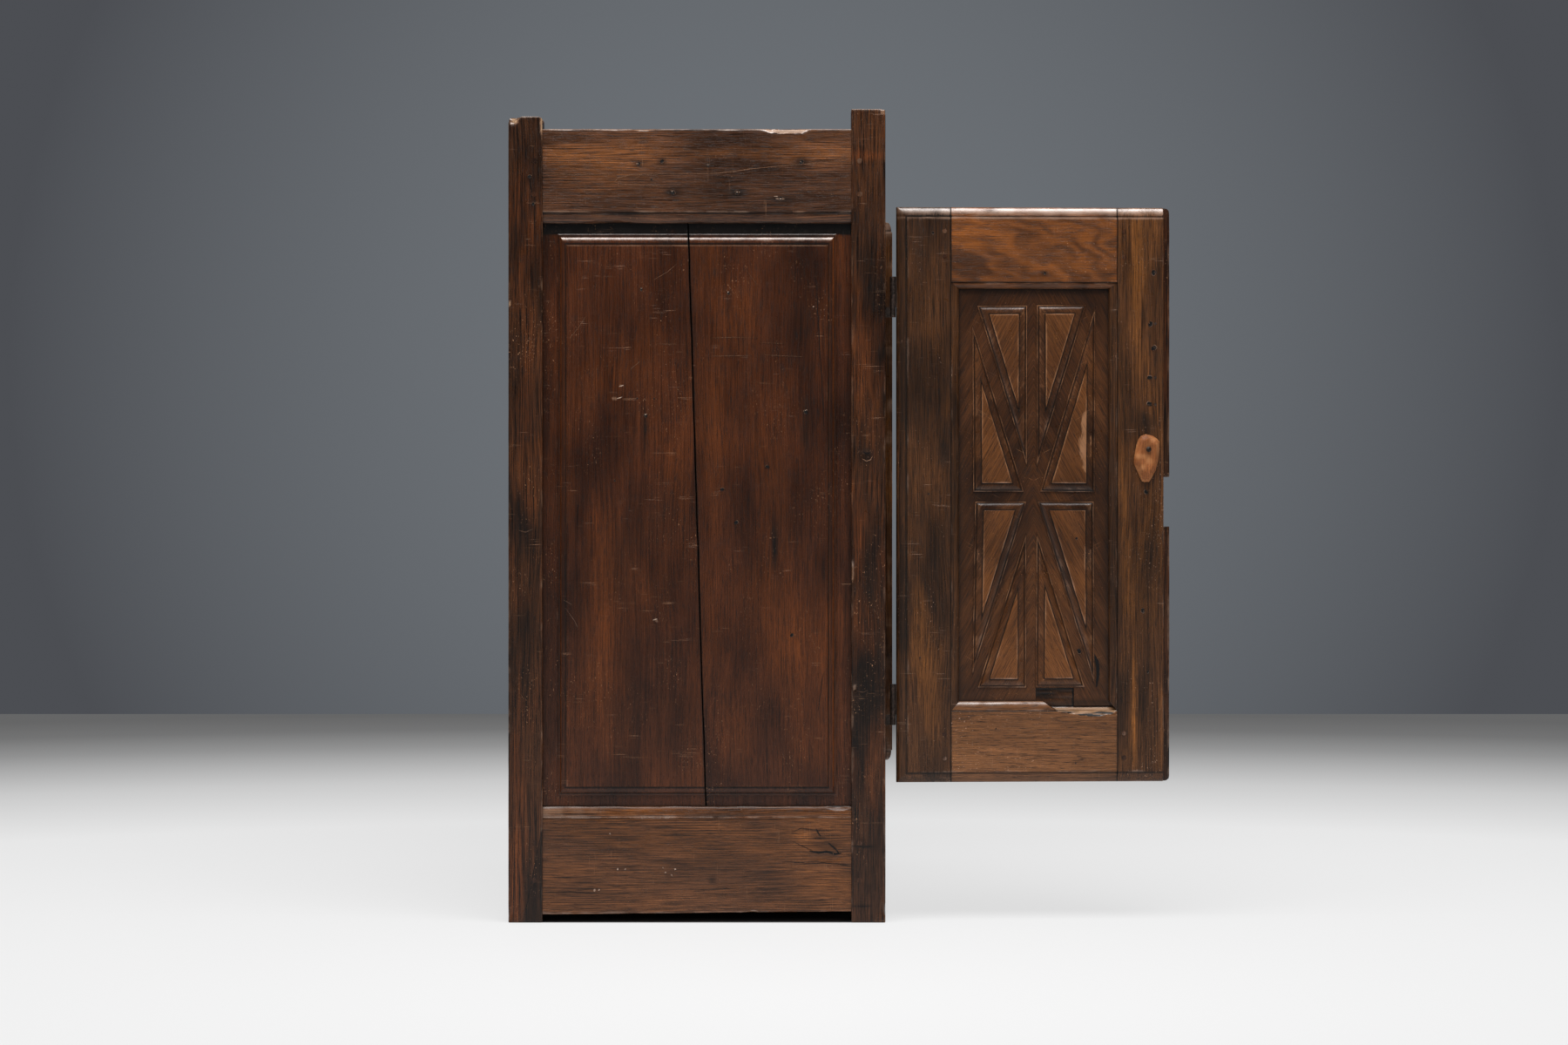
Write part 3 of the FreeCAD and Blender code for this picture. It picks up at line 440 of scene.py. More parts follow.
# The near-white torn tones of the rail and panel woods also paint glints beside nails and chips lit from
# above
rail_wood = wood("waxed_rail_wood", (48, 28, 16), (80, 50, 32), (126, 76, 38), ring_pitch=3.5,
                 bend=6.0, rings=-0.5, contrast=1.6, figure=0.22, fibre=520,
                 torn_tone=(192, 168, 150))
panel_wood = wood("waxed_panel_wood", (46, 21, 8), (73, 37, 18), (112, 58, 23), figure=0.22,
                  rings=0.06, contrast=1.1, shine=0.26, specks=0.6, fibre=800,
                  torn_tone=(196, 174, 156))
door_wood = wood("waxed_door_wood", (52, 31, 16), (86, 53, 29), (140, 86, 38), worn=door_worn_and_highlight,
                 figure=0.32, rings=0.12, contrast=1.4)
flamed_wood = wood("flamed_door_rail_wood", (66, 38, 20), (90, 53, 28), (146, 84, 36),
                   worn=door_worn_and_highlight, figure=0.2, rings=0.0, flame=0.5, contrast=0.6, fibre=800)
smooth_wood = wood("smooth_door_rail_wood", (94, 59, 34), (120, 78, 50), (144, 95, 56),
                   worn=door_worn_and_highlight, figure=0.25, rings=0.05, contrast=0.9, pores=0.8,
                   torn_tone=(136, 98, 54))
carved_wood = wood("waxed_carved_wood", (46, 24, 9), (76, 44, 22), (114, 69, 34), figure=0.35,
                   rings=0.15, ring_pitch=2.2, contrast=0.8, shine=0.3, worn=(170, 116, 72),
                   fibre=500)
inner_wood = wood("dry_inner_wood", (72, 54, 40), (108, 84, 62), (130, 94, 60),
                  worn=(150, 128, 104), shine=0.7, coat=0.0, gloss=0.2, figure=0.5, pores=0.35,
                  specks=0.2)
raw_wood = wood("fresh_button_wood", (112, 62, 30), (150, 88, 46), (172, 104, 56),
                worn=(190, 132, 84), shine=0.5, coat=0.0, contrast=0.6, pores=0.25, rings=0.3,
                ring_pitch=2.2)
peg_wood = wood("peg_wood", (34, 19, 12), (54, 32, 21), (84, 50, 30), plain=True)
print("wood materials:", [material.name for material in bpy.data.materials if "wood" in material.name])

# %% [markdown]
# ## Forged iron
# Nails and hinges are hand-forged, so their skin is uneven and dark, with brown rust where fingers
# don't rub it. Metallic and Roughness both follow one cloudy noise.

# %% The iron material
def forged_iron(name, skin, rust, polish):
    """Dark iron with rust clouds."""
    material, start, shader = material_start(name)
    place = object_place(start)
    cloud = place.fuzz((260, 260, 260), 4, 0.65).ramp(0.42, 0.66)
    grit = place.fuzz((1400, 1400, 1400), 2)
    plug(start.tree, shader, Base_Color=cloud.blend(colour(*skin), colour(*rust)))
    plug(start.tree, shader, Metallic=(1 - cloud) * 0.85)
    plug(start.tree, shader, Roughness=cloud * 0.25 + grit * 0.2 + polish)
    relief(start, shader, cloud * 0.5 + grit * 0.6, 0.7, 0.0004)
    return material


iron = forged_iron("forged_iron", (52, 46, 42), (62, 42, 30), 0.3)
print("made", iron.name)

# %% [markdown]
# ## Sections and timbers
# A post or a rail is a section carried along its length. Each corner of the section becomes a
# quarter of an ellipse: a small one is a softened arris, a long one is the quarter round of a
# moulding.

# %% Closed sections
sharp_limit, arris_reach, least_gap = 3.0, 2.2, 0.02


def bell(value, middle, reach):
    """Soft peak exp(-d^2) round a middle, with d = (value - middle) / reach."""
    return np.exp(-((value - middle) / reach) ** 2)


def ring(corners, pitch):
    """Closed section through corners (across, depth, cut before, cut after).

    A corner is corner + before (1 - sin t) + after (1 - cos t), and straight runs are divided at
    the pitch. The second result falls from 1 at a sharp arris to 0 some millimetres away.
    """
    places = np.array([corner[:2] for corner in corners], float)
    runs, arrises = [], []
    count = len(corners)
    for index in range(count):
        here = places[index]
        back = places[index - 1] - here
        ahead = places[(index + 1) % count] - here
        before = corners[index][2] * back / np.linalg.norm(back)
        after = corners[index][3] * ahead / np.linalg.norm(ahead)
        sharp = max(corners[index][2:]) < sharp_limit
        turn = np.linspace(0, math.pi / 2, 5 if sharp else 17)[:, None]
        runs.append(here + before * (1 - np.sin(turn)) + after * (1 - np.cos(turn)))
        arrises += [here] if sharp else [here + before, here + after]
    whole = []
    for index, run in enumerate(runs):
        target = runs[(index + 1) % count][0]
        steps = max(1, int(np.linalg.norm(target - run[-1]) / pitch))
        share = np.arange(1, steps)[:, None] / steps
        whole += [run, run[-1] + (target - run[-1]) * share]
    points = np.concatenate(whole)
    keep = np.linalg.norm(points - np.roll(points, 1, axis=0), axis=1) > least_gap
    points = points[keep]
    gaps = np.linalg.norm(points[:, None] - np.array(arrises)[None], axis=-1).min(axis=1)
    return points, bell(gaps, 0, arris_reach)


def inward(section):
    """Unit vectors into a closed section, at right angles to the line between the neighbours."""
    run = np.roll(section, -1, axis=0) - np.roll(section, 1, axis=0)
    normal = np.stack((-run[:, 1], run[:, 0]), axis=1)
    normal /= np.linalg.norm(normal, axis=1)[:, None]
    after = np.roll(section, -1, axis=0)
    area = np.sum(section[:, 0] * after[:, 1] - section[:, 1] * after[:, 0])
    return normal * math.copysign(1, area)


def bar(low, high, cut=1.2):
    """Plain section between two (across, depth) corners with softened arrises."""
    (a, b), (c, d) = low, high
    return ((a, b, cut, cut), (c, b, cut, cut), (c, d, cut, cut), (a, d, cut, cut))


print("a plain bar of 40 by 20 mm has", len(ring(bar((0, 0), (40, 20)), 5.0)[0]), "points in its section")

# %% [markdown]
# ## Chips, stains and changing values
# Damage on the real cupboard has its own places, so a table names them. A chip pushes the points of
# an ellipsoid inwards and says how the wood looks there: torn wood is pale, worn wood is rubbed, and
# a dent keeps its wax. Stains and warm clouds are soft spots that are added up.

# %% Chips and soft spots
# Wear and dirt in a chip
tone_levels = {"torn": (1.0, 0.0), "worn": (0.74, 0.0), "dent": (0.0, 0.15)}


def knock(points, chips, seed):
    """Moves points into chips (centre, radii, push, tone); gives the wear and the dirt in them.

    A chip's depth is 1 - |p - c|^2 over its radii, doubled and cut off at 1, with a ragged noise.
    """
    wear, dirt = np.zeros(points.shape[:-1]), np.zeros(points.shape[:-1])
    ragged = 0.75 + 0.25 * noise(points, 2.6, seed) + 0.2 * noise(points, 7.0, seed + 1)
    border = 0.4 * noise(points, 4.5, seed + 2)
    for centre, radii, push, tone in chips:
        inside = 1 - np.sum(((points - centre) / radii) ** 2, axis=-1) + border
        amount = np.clip(inside * 2.2, 0, 1) * ragged
        points = points + amount[..., None] * np.array(push, float)
        wear = np.maximum(wear, tone_levels[tone][0] * np.clip(inside * 3, 0, 1))
        dirt = np.maximum(dirt, tone_levels[tone][1] * np.clip(inside * 3, 0, 1))
    return points, wear, dirt


def varied(value, across, along):
    """A number as it is, or what a function gives for each place across and along."""
    return value(across, along) if callable(value) else value


def spots(across, along, table):
    """Sum of soft spots (across, along, half width, half length, strength), each exp(-d^2)."""
    total = np.zeros(np.shape(across))
    for middle, place, half_width, half_length, strength in table:
        spread = -((across - middle) / half_width) ** 2 - ((along - place) / half_length) ** 2
        total += strength * np.exp(spread)
    return total


def clouds(base, *table):
    """Function of (across, along): a base value plus the soft spots of a table."""
    return lambda across, along: base + spots(across, along, table)


def placed(axes, across, depth, along):
    """World points of (across, depth, along) values on the named axes."""
    local = np.stack((across, depth, along), axis=-1)
    points = np.empty_like(local)
    points[..., ["xyz".index(axis) for axis in axes]] = local
    return points


def finish_and_light_of(wear, dirt, warmth):
    """Attribute: wear and painted highlights 0 to 1, grime and painted shade 0 to 2, and warmth."""
    return np.stack((np.clip(wear, 0, 1), np.clip(dirt, 0, 2), warmth), axis=1)


def swirled(key, seed):
    """Place in the timber, moved across by slow noise so that the grain isn't ruled straight."""
    swirl = noise(key * (1, 1, 0.16), 26.0, seed) * 4.5
    return key + placed("xyz", swirl, np.zeros(len(key)), np.zeros(len(key)))


print("a spot is", spots(0.0, 0.0, ((0, 0, 5, 5, 1.0),)), "in its middle")

# %% [markdown]
# ## Timbers
# A timber could be a cube with a bevel, but a hand-planed one has no straight arris. So its section
# is copied along the length and drawn in at both ends, where rings close its cut face.

# %% Copies of a section along a length
# Shares of the rounding at an end, and sizes of the rings that close its cut face
end_shares = np.array((0.0, 0.12, 0.35, 0.65, 1.0))
cap_shares = np.array((0.2, 0.5, 0.8, 0.94))


def rounded_rows(section, into, low, high, end_cut, step):
    """Copies of a section along a length, drawn in at the ends by r - sqrt(r^2 - (r - d)^2)."""
    end_steps = end_shares * end_cut
    steps = max(2, int((high - low - 2 * end_cut) / step))
    middle = np.linspace(low + end_cut, high - end_cut, steps + 1)
    stations = np.concatenate((low + end_steps[:-1], middle, (high - end_steps[:-1])[::-1]))
    room = np.minimum(stations - low, high - stations)
    round_off = end_cut - np.sqrt(np.maximum(end_cut ** 2 - np.maximum(end_cut - room, 0) ** 2, 0))
    rows = section[None] + into[None] * round_off[:, None, None]
    centre = section.mean(axis=0)
    caps = centre + (rows[0] - centre) * cap_shares[:, None, None]
    rows = np.concatenate((caps, rows, caps[::-1]))
    stations = np.concatenate((np.full(len(caps), low), stations, np.full(len(caps), high)))
    stations = np.broadcast_to(stations[:, None, None], rows.shape[:2] + (1,))
    return np.concatenate((rows, stations), axis=2)


# %% [markdown]
# ## Wear of a timber
# Hands and knocks reach the arrises first. Two noises blunt them, a slow one for handling and a
# quick one for knocks, and a third lets the faces wave. The same closeness to an arris rubs the
# finish, and more noise spreads grime and warmth.

# %% Worn timbers
# Distance between the timbers in the wood's noise, for each step of the seed
timber_shift = 61.7


def timber(axes, corners, along, seed, worn=1.0, warm=0.0, grime_and_shade=0.0, chips=(), pitch=5.0,
           step=6.0, end_cut=1.3, ends=None, wave=0.35, polish=0.0, bow=None):
    """Section carried along a straight length, with soft ends, worn arrises and chips.

    axes names the world axes of across, depth and along. ends gives the low and high end for
    each across value, so that a mitre or a rounded end is a slanted cut. warm, grime and polish
    are numbers or functions of (across, along), and bow moves points across in the same way.
    Grime may carry painted shade, and polish painted highlights.
    """
    section, arris = ring(corners, pitch)
    into = inward(section)
    low, high = along
    rows = rounded_rows(section, into, low, high, end_cut, step)
    if ends:
        low_cut, high_cut = ends(rows[..., 0])
        share = (rows[..., 2] - low) / (high - low)
        rows[..., 2] = low_cut + (high_cut - low_cut) * share
    centre = section.mean(axis=0)
    poles = np.array(((*centre, rows[0, :, 2].mean()), (*centre, rows[-1, :, 2].mean())))
    local = np.concatenate((rows.reshape(-1, 3), poles))
    near = np.concatenate((np.tile(arris, len(rows)), (0, 0)))
    side = np.concatenate((np.tile(into, (len(rows), 1)), np.zeros((2, 2))))
    key = local + seed * timber_shift
    blunt = worn * near * (0.25 + 1.1 * np.clip(noise(key, 34.0, seed) + 0.15, 0, 1))
    blunt += worn * near * 0.35 * np.clip(noise(key, 6.0, seed + 2), 0, 1)
    blunt += wave * (1 + noise(key * (1, 1, 0.4), 46.0, seed + 3)) * 0.5
    local[:, :2] += side * blunt[:, None]
    if bow:
        local[:, 0] += bow(local[:, 0], local[:, 2])
    points, torn, soiled = knock(placed(axes, *local.T), chips, seed)
    tip = np.exp(-np.minimum(local[:, 2] - low, high - local[:, 2]).clip(0) / 3.0)
    rub = near * np.clip(0.42 + 0.9 * noise(key, 21.0, seed + 4) + 0.4 * noise(key, 5.0, seed + 5), 0, 1)
    across, place = local[:, 0], local[:, 2]
    shine = varied(polish, across, place)
    shine = shine * np.clip(0.75 + 0.5 * noise(key, 14.0, seed + 9) + (shine > 0.95), 0, 1)
    wear = np.maximum(np.maximum(worn * rub * 0.75, shine), torn)
    dirt = varied(grime_and_shade, across, place) + 0.16 * noise(key, 130.0, seed + 6) + 0.25 * tip - 0.6 * torn
    warmth = varied(warm, across, place) + 0.22 * noise(key * (1, 1, 0.35), 55.0, seed + 7)
    finish = finish_and_light_of(wear, np.maximum(dirt, soiled), warmth)
    return shell(points, tube_faces(*rows.shape[:2]), swirled(key, seed + 8), finish)


def mirrored(part):
    """Same shell on the right side of the cupboard."""
    return {**part, "points": part["points"] * (-1, 1, 1) + (width, 0, 0)}


print("a bar has", len(timber("xyz", bar((0, 0), (40, 20)), (0.0, 300.0), 1)["points"]), "points")

# %% [markdown]
# ## Nail marks and cracks
# Old nails and splits are too small for the grid of a whole rail, so each is a little closed shell
# of its own, let into the surface. A nail mark is a cup with a raised rim, one side of which has a
# painted highlight, and its bottom is dark with dirt and painted shade. A crack is a thin
# three-cornered sliver, widest in its middle.

# %% Small marks let into a surface
# Rings of a nail mark: share of its radius, height over the surface, dirt and painted shade inside,
# painted highlight on the rim
cup_rings = np.array(((1.2, -1.5, 0.0, 0.0), (1.38, -0.1, 0.0, 0.3), (1.3, 0.3, 0.0, 1.0),
                      (1.1, 0.36, 0.3, 1.0), (0.88, 0.14, 1.0, 0.0), (0.5, 0.08, 1.0, 0.0)))
cup_corners = 18
crack_lift, crack_sink = 0.12, 1.2


def nail_mark(axes, across, depth, along, radius, seed, front=-1, bottom=(0.0, 2.0)):
    """Cup whose rings are the radius times a share, with an uneven rim; front is the way out.

    One side of the rim is a painted highlight. bottom gives the wear and the dirt inside the cup;
    its dark default is dirt and painted shade.
    """
    turn = np.arange(cup_corners) / cup_corners * 2 * math.pi
    uneven = 1 + 0.16 * np.sin(2 * turn + seed) + 0.08 * np.sin(5 * turn + 2 * seed)
    reach = cup_rings[:, 0][:, None] * radius * uneven
    level = np.broadcast_to(depth + front * cup_rings[:, 1][:, None], reach.shape)
    rings = placed(axes, across + reach * np.cos(turn), level, along + reach * np.sin(turn))
    levels = np.array((depth - front * 1.5, depth + front * 0.05))
    poles = placed(axes, np.full(2, across), levels, np.full(2, along))
    points = np.concatenate((rings.reshape(-1, 3), poles))
    inside = np.append(np.repeat(cup_rings[:, 2], cup_corners), (0.0, 1.0))
    # A painted highlight on one side of the rim
    rim = np.outer(cup_rings[:, 3], np.clip(np.cos(turn - seed) * 1.4, 0.1, 0.84))
    rim = np.append(rim.ravel(), (0.0, 0.0))
    finish = np.stack((rim + inside * bottom[0], 0.3 + inside * bottom[1], inside * 0), axis=1)
    return shell(points, tube_faces(len(cup_rings), cup_corners), points + seed * 7.7, finish)


def crack(axes, path, depth, width, seed, front=-1, wear=0.0, dirt=2.0):
    """Sliver along a path of (across, along) corners; its width follows the root of sin(pi t)."""
    corners = np.array(path, float)
    share = np.linspace(0, 1, 12 * len(corners))
    stops = np.linspace(0, 1, len(corners))
    across, along = (np.interp(share, stops, corners[:, index]) for index in (0, 1))
    jitter = noise_at(across, along, 0, 4.0, seed) * min(width, 1.2) * 0.4
    run = np.stack((np.gradient(across), np.gradient(along)), axis=-1)
    normal = np.stack((-run[:, 1], run[:, 0]), axis=-1) / np.linalg.norm(run, axis=1)[:, None]
    half = width / 2 * np.sqrt(np.sin(math.pi * (0.02 + 0.96 * share))) * (1 + 0.3 * jitter)
    lifted, sunk = depth + front * crack_lift, depth - front * crack_sink
    rows = [placed(axes, across + normal[:, 0] * half * way + jitter, np.full(len(share), level),
                   along + normal[:, 1] * half * way)
            for way, level in ((-1, lifted), (1, lifted), (0, sunk))]
    rings = np.stack(rows, axis=1)
    points = np.concatenate((rings.reshape(-1, 3), rings[[0, -1]].mean(axis=1)))
    finish = np.broadcast_to((wear, dirt, 0.0), points.shape)
    return shell(points, tube_faces(len(share), 3), points + seed * 3.1, finish)


def nail_marks(axes, depth, seed, table, **looks):
    """A nail mark for each (across, along, radius) of a table; the seeds count up."""
    return [nail_mark(axes, across, depth, along, radius, seed + index, **looks)
            for index, (across, along, radius) in enumerate(table)]


def cracks(axes, depth, seed, table, **looks):
    """A crack for each (path, width) of a table, or for each (path, width, wear, dirt)."""
    return [crack(axes, path, depth, size, seed + index, -1, *look, **looks)
            for index, (path, size, *look) in enumerate(table)]


print("a nail mark has", len(cup_rings) * cup_corners + 2, "corners")

# %% [markdown]
# ## Posts
# Four square posts stand above the rails, as they do on the real cupboard. Their tops were sawn by
# hand and later knocked about: the rear one has lost a corner. A post is the simplest timber, a
# square section with soft arrises.

# %% Grime, warmth and marks of the posts
# The surface of a post is set this far inside its CAD box, and marks lie a little deeper
post_skin, post_mark_depth = 0.25, 0.3


def back_post_grime(y, z):
    """Speckled top and dull spots of dirt, and a foot that is darker to one side of a slanting line."""
    wedge = 0.55 * np.clip((512 + (138 - z) * 0.2 - y) / 2 + 1, 0, 1) * np.clip((150 - z) / 12, 0, 1)
    return 0.1 + wedge + spots(y, z, (
        (532, 1110, 7, 9, 0.6), (527, 1072, 4, 22, 0.6), (535, 585, 14, 26, 0.45),
        (556, 1020, 9, 60, 0.4), (530, 760, 30, 70, 0.35)))


# Grime and warmth; a spot is: y, z, half width, half length, strength
post_looks = {
    "back": (back_post_grime,
             clouds(-0.1, (538, 960, 20, 160, 0.3), (552, 60, 12, 90, 0.45), (550, 300, 9, 200, 0.2))),
    "front": (clouds(0.1, (29, 697, 10, 12, 0.7), (30, 114, 12, 1.5, 0.9), (34, 24, 14, 1.5, 0.9),
                     (26, 850, 22, 90, 0.3), (26, 60, 30, 60, 0.35), (26, 1000, 12, 40, 0.25)),
              clouds(-0.1, (26, 1145, 30, 9, 0.5), (40, 560, 9, 120, 0.3), (38, 850, 12, 120, 0.3))),
}
post_marks = {
    "back": nail_marks("yxz", 0.37, 341, ((531.6, 1114.0, 2.4), (526.4, 1073.0, 1.9)))
    + cracks("yxz", post_mark_depth, 343, (
        (((531, 1110), (529, 1095), (528, 1078)), 1.6, 0.0, 1.0),
        (((514, 136), (527, 70), (540, 6)), 1.1),
        (((548, 586), (538, 583), (526, 588)), 1.3, 0.5, 0.5))),
    "front": cracks("yxz", post_mark_depth, 350, (
        (((20, 697), (23, 691), (29, 689), (36, 693)), 1.0, 0.8, 0.0),
        (((24, 702), (29, 700), (33, 703)), 1.2, 0.0, 2.0),
        (((51, 115), (34, 113), (18, 114)), 1.2, 0.0, 2.0),
        (((50, 25), (36, 24), (22, 25)), 1.0, 0.0, 2.0),
        (((44, 346), (34, 344), (26, 347)), 1.2, 0.3, 0.5))),
}
print("marks on the posts:", {place: len(marks) for place, marks in post_marks.items()})

# %% [markdown]
# ## Making the posts
# The left posts are made from their CAD boxes. The right ones are their mirror images with other
# seeds, so that their grain and wear differ, and without the marks that the photograph shows.

# %% Four posts
def post(side, place, seed, chips):
    """Left post of the front or back from its CAD box, mirrored for the right side."""
    node = f"left_{place}_post"
    (x_low, x_high), (y_low, y_high) = span(node, "x"), span(node, "y")
    section = bar((y_low + post_skin, x_low + post_skin), (y_high - post_skin, x_high - post_skin), 1.7)
    grime_and_shade, warm = post_looks[place]
    top = span(node, "z")[1] - 0.2
    # The polish paints a highlight along the top edge of each post
    made = timber("yxz", section, (0.0, top), seed, 0.55, warm, grime_and_shade, chips, step=4.0, pitch=3.5,
                  polish=lambda y, z: 0.8 * bell(z, top, 1.5))
    shells = [made] + post_marks[place] if side == "left" else [mirrored(made)]
    return piece(f"{side}_{place}_post_wood", shells, frame_wood, "carcase", "frame_wood",
                 f"{side}_{place}_post")


# Centre, radii, push and tone; the later chips of each table are also on the right side
back_chips = (
    ((4, 560, 1204), (30, 15, 7), (0.5, -1.0, -5.0), "dent"),
    ((2, 556, 1197), (6, 7, 5), (2.5, 0, 0), "torn"),
    ((26, 513, 1206), (34, 7, 9), (0, 2.0, -4.0), "worn"),
    ((0, 513, 1192), (5, 3, 16), (0.8, 0.8, 0), "torn"),
    ((0, 564, 925), (4, 4, 5), (1.2, -1.2, 0), "torn"),
    ((0, 564, 640), (4, 3, 60), (0.8, -0.9, 0), "dent"),
    ((0, 562, 12), (6, 5, 12), (1.2, -0.8, 0), "dent"),
)
front_chips = (
    ((0, 51, 526), (4, 3.4, 16), (1.8, -1.2, 0), "worn"),
    ((0, 50, 531), (3, 2.0, 7), (0.6, 0, 0), "torn"),
    ((0, 29, 697), (2.5, 7, 8), (1.0, 0, 0), "dent"),
    ((0, 46, 352), (2.5, 3, 5), (0.7, 0, 0), "worn"),
    ((0, 2, 1213), (20, 5, 6), (0.5, 1.0, -1.5), "worn"),
    ((0, 0, 20), (14, 8, 10), (1.0, 1.5, 0), "dent"),
)
for side, seed in (("left", 3), ("right", 11)):
    post(side, "back", seed, back_chips if side == "left" else back_chips[5:])
    post(side, "front", seed + 1, front_chips if side == "left" else front_chips[4:])
print("posts rise to", span("left_front_post", "z")[1], "and", span("left_back_post", "z")[1], "mm")

# %% [markdown]
# ## Side rails
# The rails are set two millimetres behind the posts. Each has a quarter round planed along the edge
# beside the panel, below a thin fillet line. In the section that is one long elliptical corner.

# %% Grime, painted shade, warmth and painted highlights of the side rails
def top_rail_warm(z, y):
    """Orange band along the upper half, stronger towards the back, and a dull lower edge."""
    band = bell(z, 1147, 14) * (0.62 + 0.38 * np.clip((y - 200) / 150, 0, 1))
    return 0.34 * band - 0.04 - 0.1 * bell(z, 1176, 10)


def top_rail_grime_and_shade(z, y):
    """Halos round the old nails, a dull knot, painted shade in the groove and at the moulding's foot."""
    halos = (
        (1090, 318, 9, 13, 0.9), (1090, 222, 8, 15, 0.9), (1136, 126, 10, 13, 0.9),
        (1081, 157, 8, 20, 0.7), (1133, 369, 6, 9, 0.7), (1137, 334, 6, 8, 0.8),
        (1056, 385, 8, 26, 0.6), (1130, 265, 5, 9, 0.5),
    )
    # Painted shade: a dark line in the groove and a fainter one at the foot of the moulding
    groove_shade = 0.9 * bell(z, 1059, 1.4)
    return spots(z, y, halos) + groove_shade + 0.3 * bell(z, 1045, 1.8)


def bottom_rail_grime_and_shade(z, y):
    """Painted shade under the panel and below the fillet line; dirt round the knot and in dull clouds."""
    dull = ((85, 310, 30, 60, 0.2), (40, 440, 26, 70, 0.25), (112, 82, 14, 26, 0.5), (64, 259, 6, 6, 0.8))
    # Painted shade: the dark gap under the panel and a line below the fillet
    shade_under_panel = 1.1 * bell(z, 174.5, 2.6)
    return spots(z, y, dull) + shade_under_panel + 0.6 * bell(z, 155, 1.0)


def bottom_rail_highlight_and_wear(z, y):
    """Painted highlights on the moulding, palest at the back, and on the fillet; a worn lower arris."""
    towards_back = np.clip((y - 330) / 180, 0, 1)
    # Painted highlights on the round and the fillet line; the last term is wear on the lower arris
    round_part = bell(z, 166, 6) * (0.84 * towards_back ** 2)
    fillet_highlight = bell(z, 157, 0.5) * np.where((y > 256) | (y < 170), 0.8, 0.0)
    return round_part + fillet_highlight + 0.5 * bell(z, 14, 2.5)


def top_rail_highlight(z, y):
    """Painted highlight on the upper arris."""
    return 0.95 * bell(z, 1185.5, 1.6)


def top_rail_bow(z, y):
    """Dent in the lower edge, a little behind the middle."""
    return 1.1 * bell(y, 400, 26) * np.clip((1066 - z) / 16, 0, 1)


def bottom_rail_bow(z, y):
    """Lower edge that slopes, so that the rail is deeper towards the back."""
    return (282 - y) / 230 * 2.4 * np.clip((60 - z) / 46, 0, 1)


# Warmth, grime with painted shade, painted highlights with a little wear, and bow. The bottom rail
# has the orange heart of a knot near the front post.
bottom_rail_warm = clouds(0.26, (129, 124, 8, 14, 0.7), (152, 110, 16, 40, 0.15), (60, 80, 30, 60, 0.2))
rail_looks = {
    "top": (top_rail_warm, top_rail_grime_and_shade, top_rail_highlight, top_rail_bow),
    "bottom": (bottom_rail_warm, bottom_rail_grime_and_shade, bottom_rail_highlight_and_wear, bottom_rail_bow),
}

# %% [markdown]
# ## Old nails, splits and scratches of the rails
# The top rail has eight nail marks with painted glints beside them, and long scratches. The bottom
# one is split in front, round a knot, and has a scatter of small pale holes. Each mark is one row of
# a table, with its height first and its distance from the front second.

# %% Marks on the side rails
rail_front, rail_rear, rail_mark_depth = 2.25, 37.8, 2.2
# Painted glints beside the old nails: z, y, half length
top_rail_glints = (
    (1091.5, 320, 2.2), (1091.0, 221, 3.5), (1080.5, 158, 6.5), (1131.5, 266, 2.0), (1133.5, 371, 1.8),
    (1136, 128, 1.8), (1084.5, 164, 3.0),
)
rail_marks = {
    "top": nail_marks("zxy", rail_mark_depth, 210, (
        (1133.1, 369.1, 2.0), (1137.0, 334.0, 2.4), (1109.7, 349.6, 1.2), (1090.2, 318.4, 3.0),
        (1130.5, 265.1, 2.0), (1090.2, 222.2, 2.6), (1081.1, 157.2, 2.4), (1135.7, 126.0, 2.8)))
    + cracks("zxy", rail_mark_depth, 380, (
        (((1118, 511), (1117, 460), (1118, 402)), 0.8),
        (((1106, 405), (1112, 400), (1117, 380), (1118, 325)), 0.9),
        (((1118, 325), (1119, 252), (1128, 179), (1138, 54)), 0.8),
        (((1106, 405), (1102, 392), (1100, 330)), 0.7),
        (((1110, 375), (1116, 366), (1118, 362)), 0.6)), wear=0.6, dirt=0.0)
    # Painted glints: short pale slivers beside the nails
    + cracks("zxy", rail_mark_depth, 390, [
        (((z, y + reach), (z + 0.4, y), (z - 0.2, y - reach)), 1.1)
        for z, y, reach in top_rail_glints], wear=1.0, dirt=0.0),
    "bottom": cracks("zxy", rail_mark_depth, 230, (
        (((91, 155), (89, 120), (89, 90), (87, 70), (85, 54)), 1.1),
        (((107, 114), (104, 100), (106, 88), (102, 76), (104, 66)), 3.4),
        (((140, 104), (134, 101), (129, 97)), 2.0),
        (((119, 86), (113, 79), (109, 74), (103, 70)), 2.4),
        (((135, 140), (141, 126), (139, 110)), 0.7),
        (((121, 138), (113, 122), (108, 110)), 0.8),
        (((45, 511), (46, 470), (44, 430)), 0.9)))
    + nail_marks("zxy", rail_mark_depth, 240, (
        (132.8, 411.7, 0.9), (80, 400, 1.2), (80, 389, 1.0), (75, 329, 1.0), (80, 314.5, 1.2),
        (71, 319.7, 0.9), (82, 332.7, 0.8), (48.4, 434.7, 1.6), (49, 428, 1.1)), bottom=(1.0, -0.3)),
}
print("marks on the rails:", {level: len(marks) for level, marks in rail_marks.items()})

# %% [markdown]
# ## Making the side rails
# One function makes top and bottom rails, because they differ only in which way their moulding
# looks. Wear is taken back on the faces behind the panel, which nobody touches.

# %% Four side rails
rail_mould_width, rail_mould_depth, fillet_step = 17.0, 7.0, 1.5
rail_ends = (post_size - tuck, depth - post_size + tuck)
# Faces farther in than this are out of reach of hands, so they keep only a share of the wear
handled_depth, unhandled_share = 9.0, 0.3


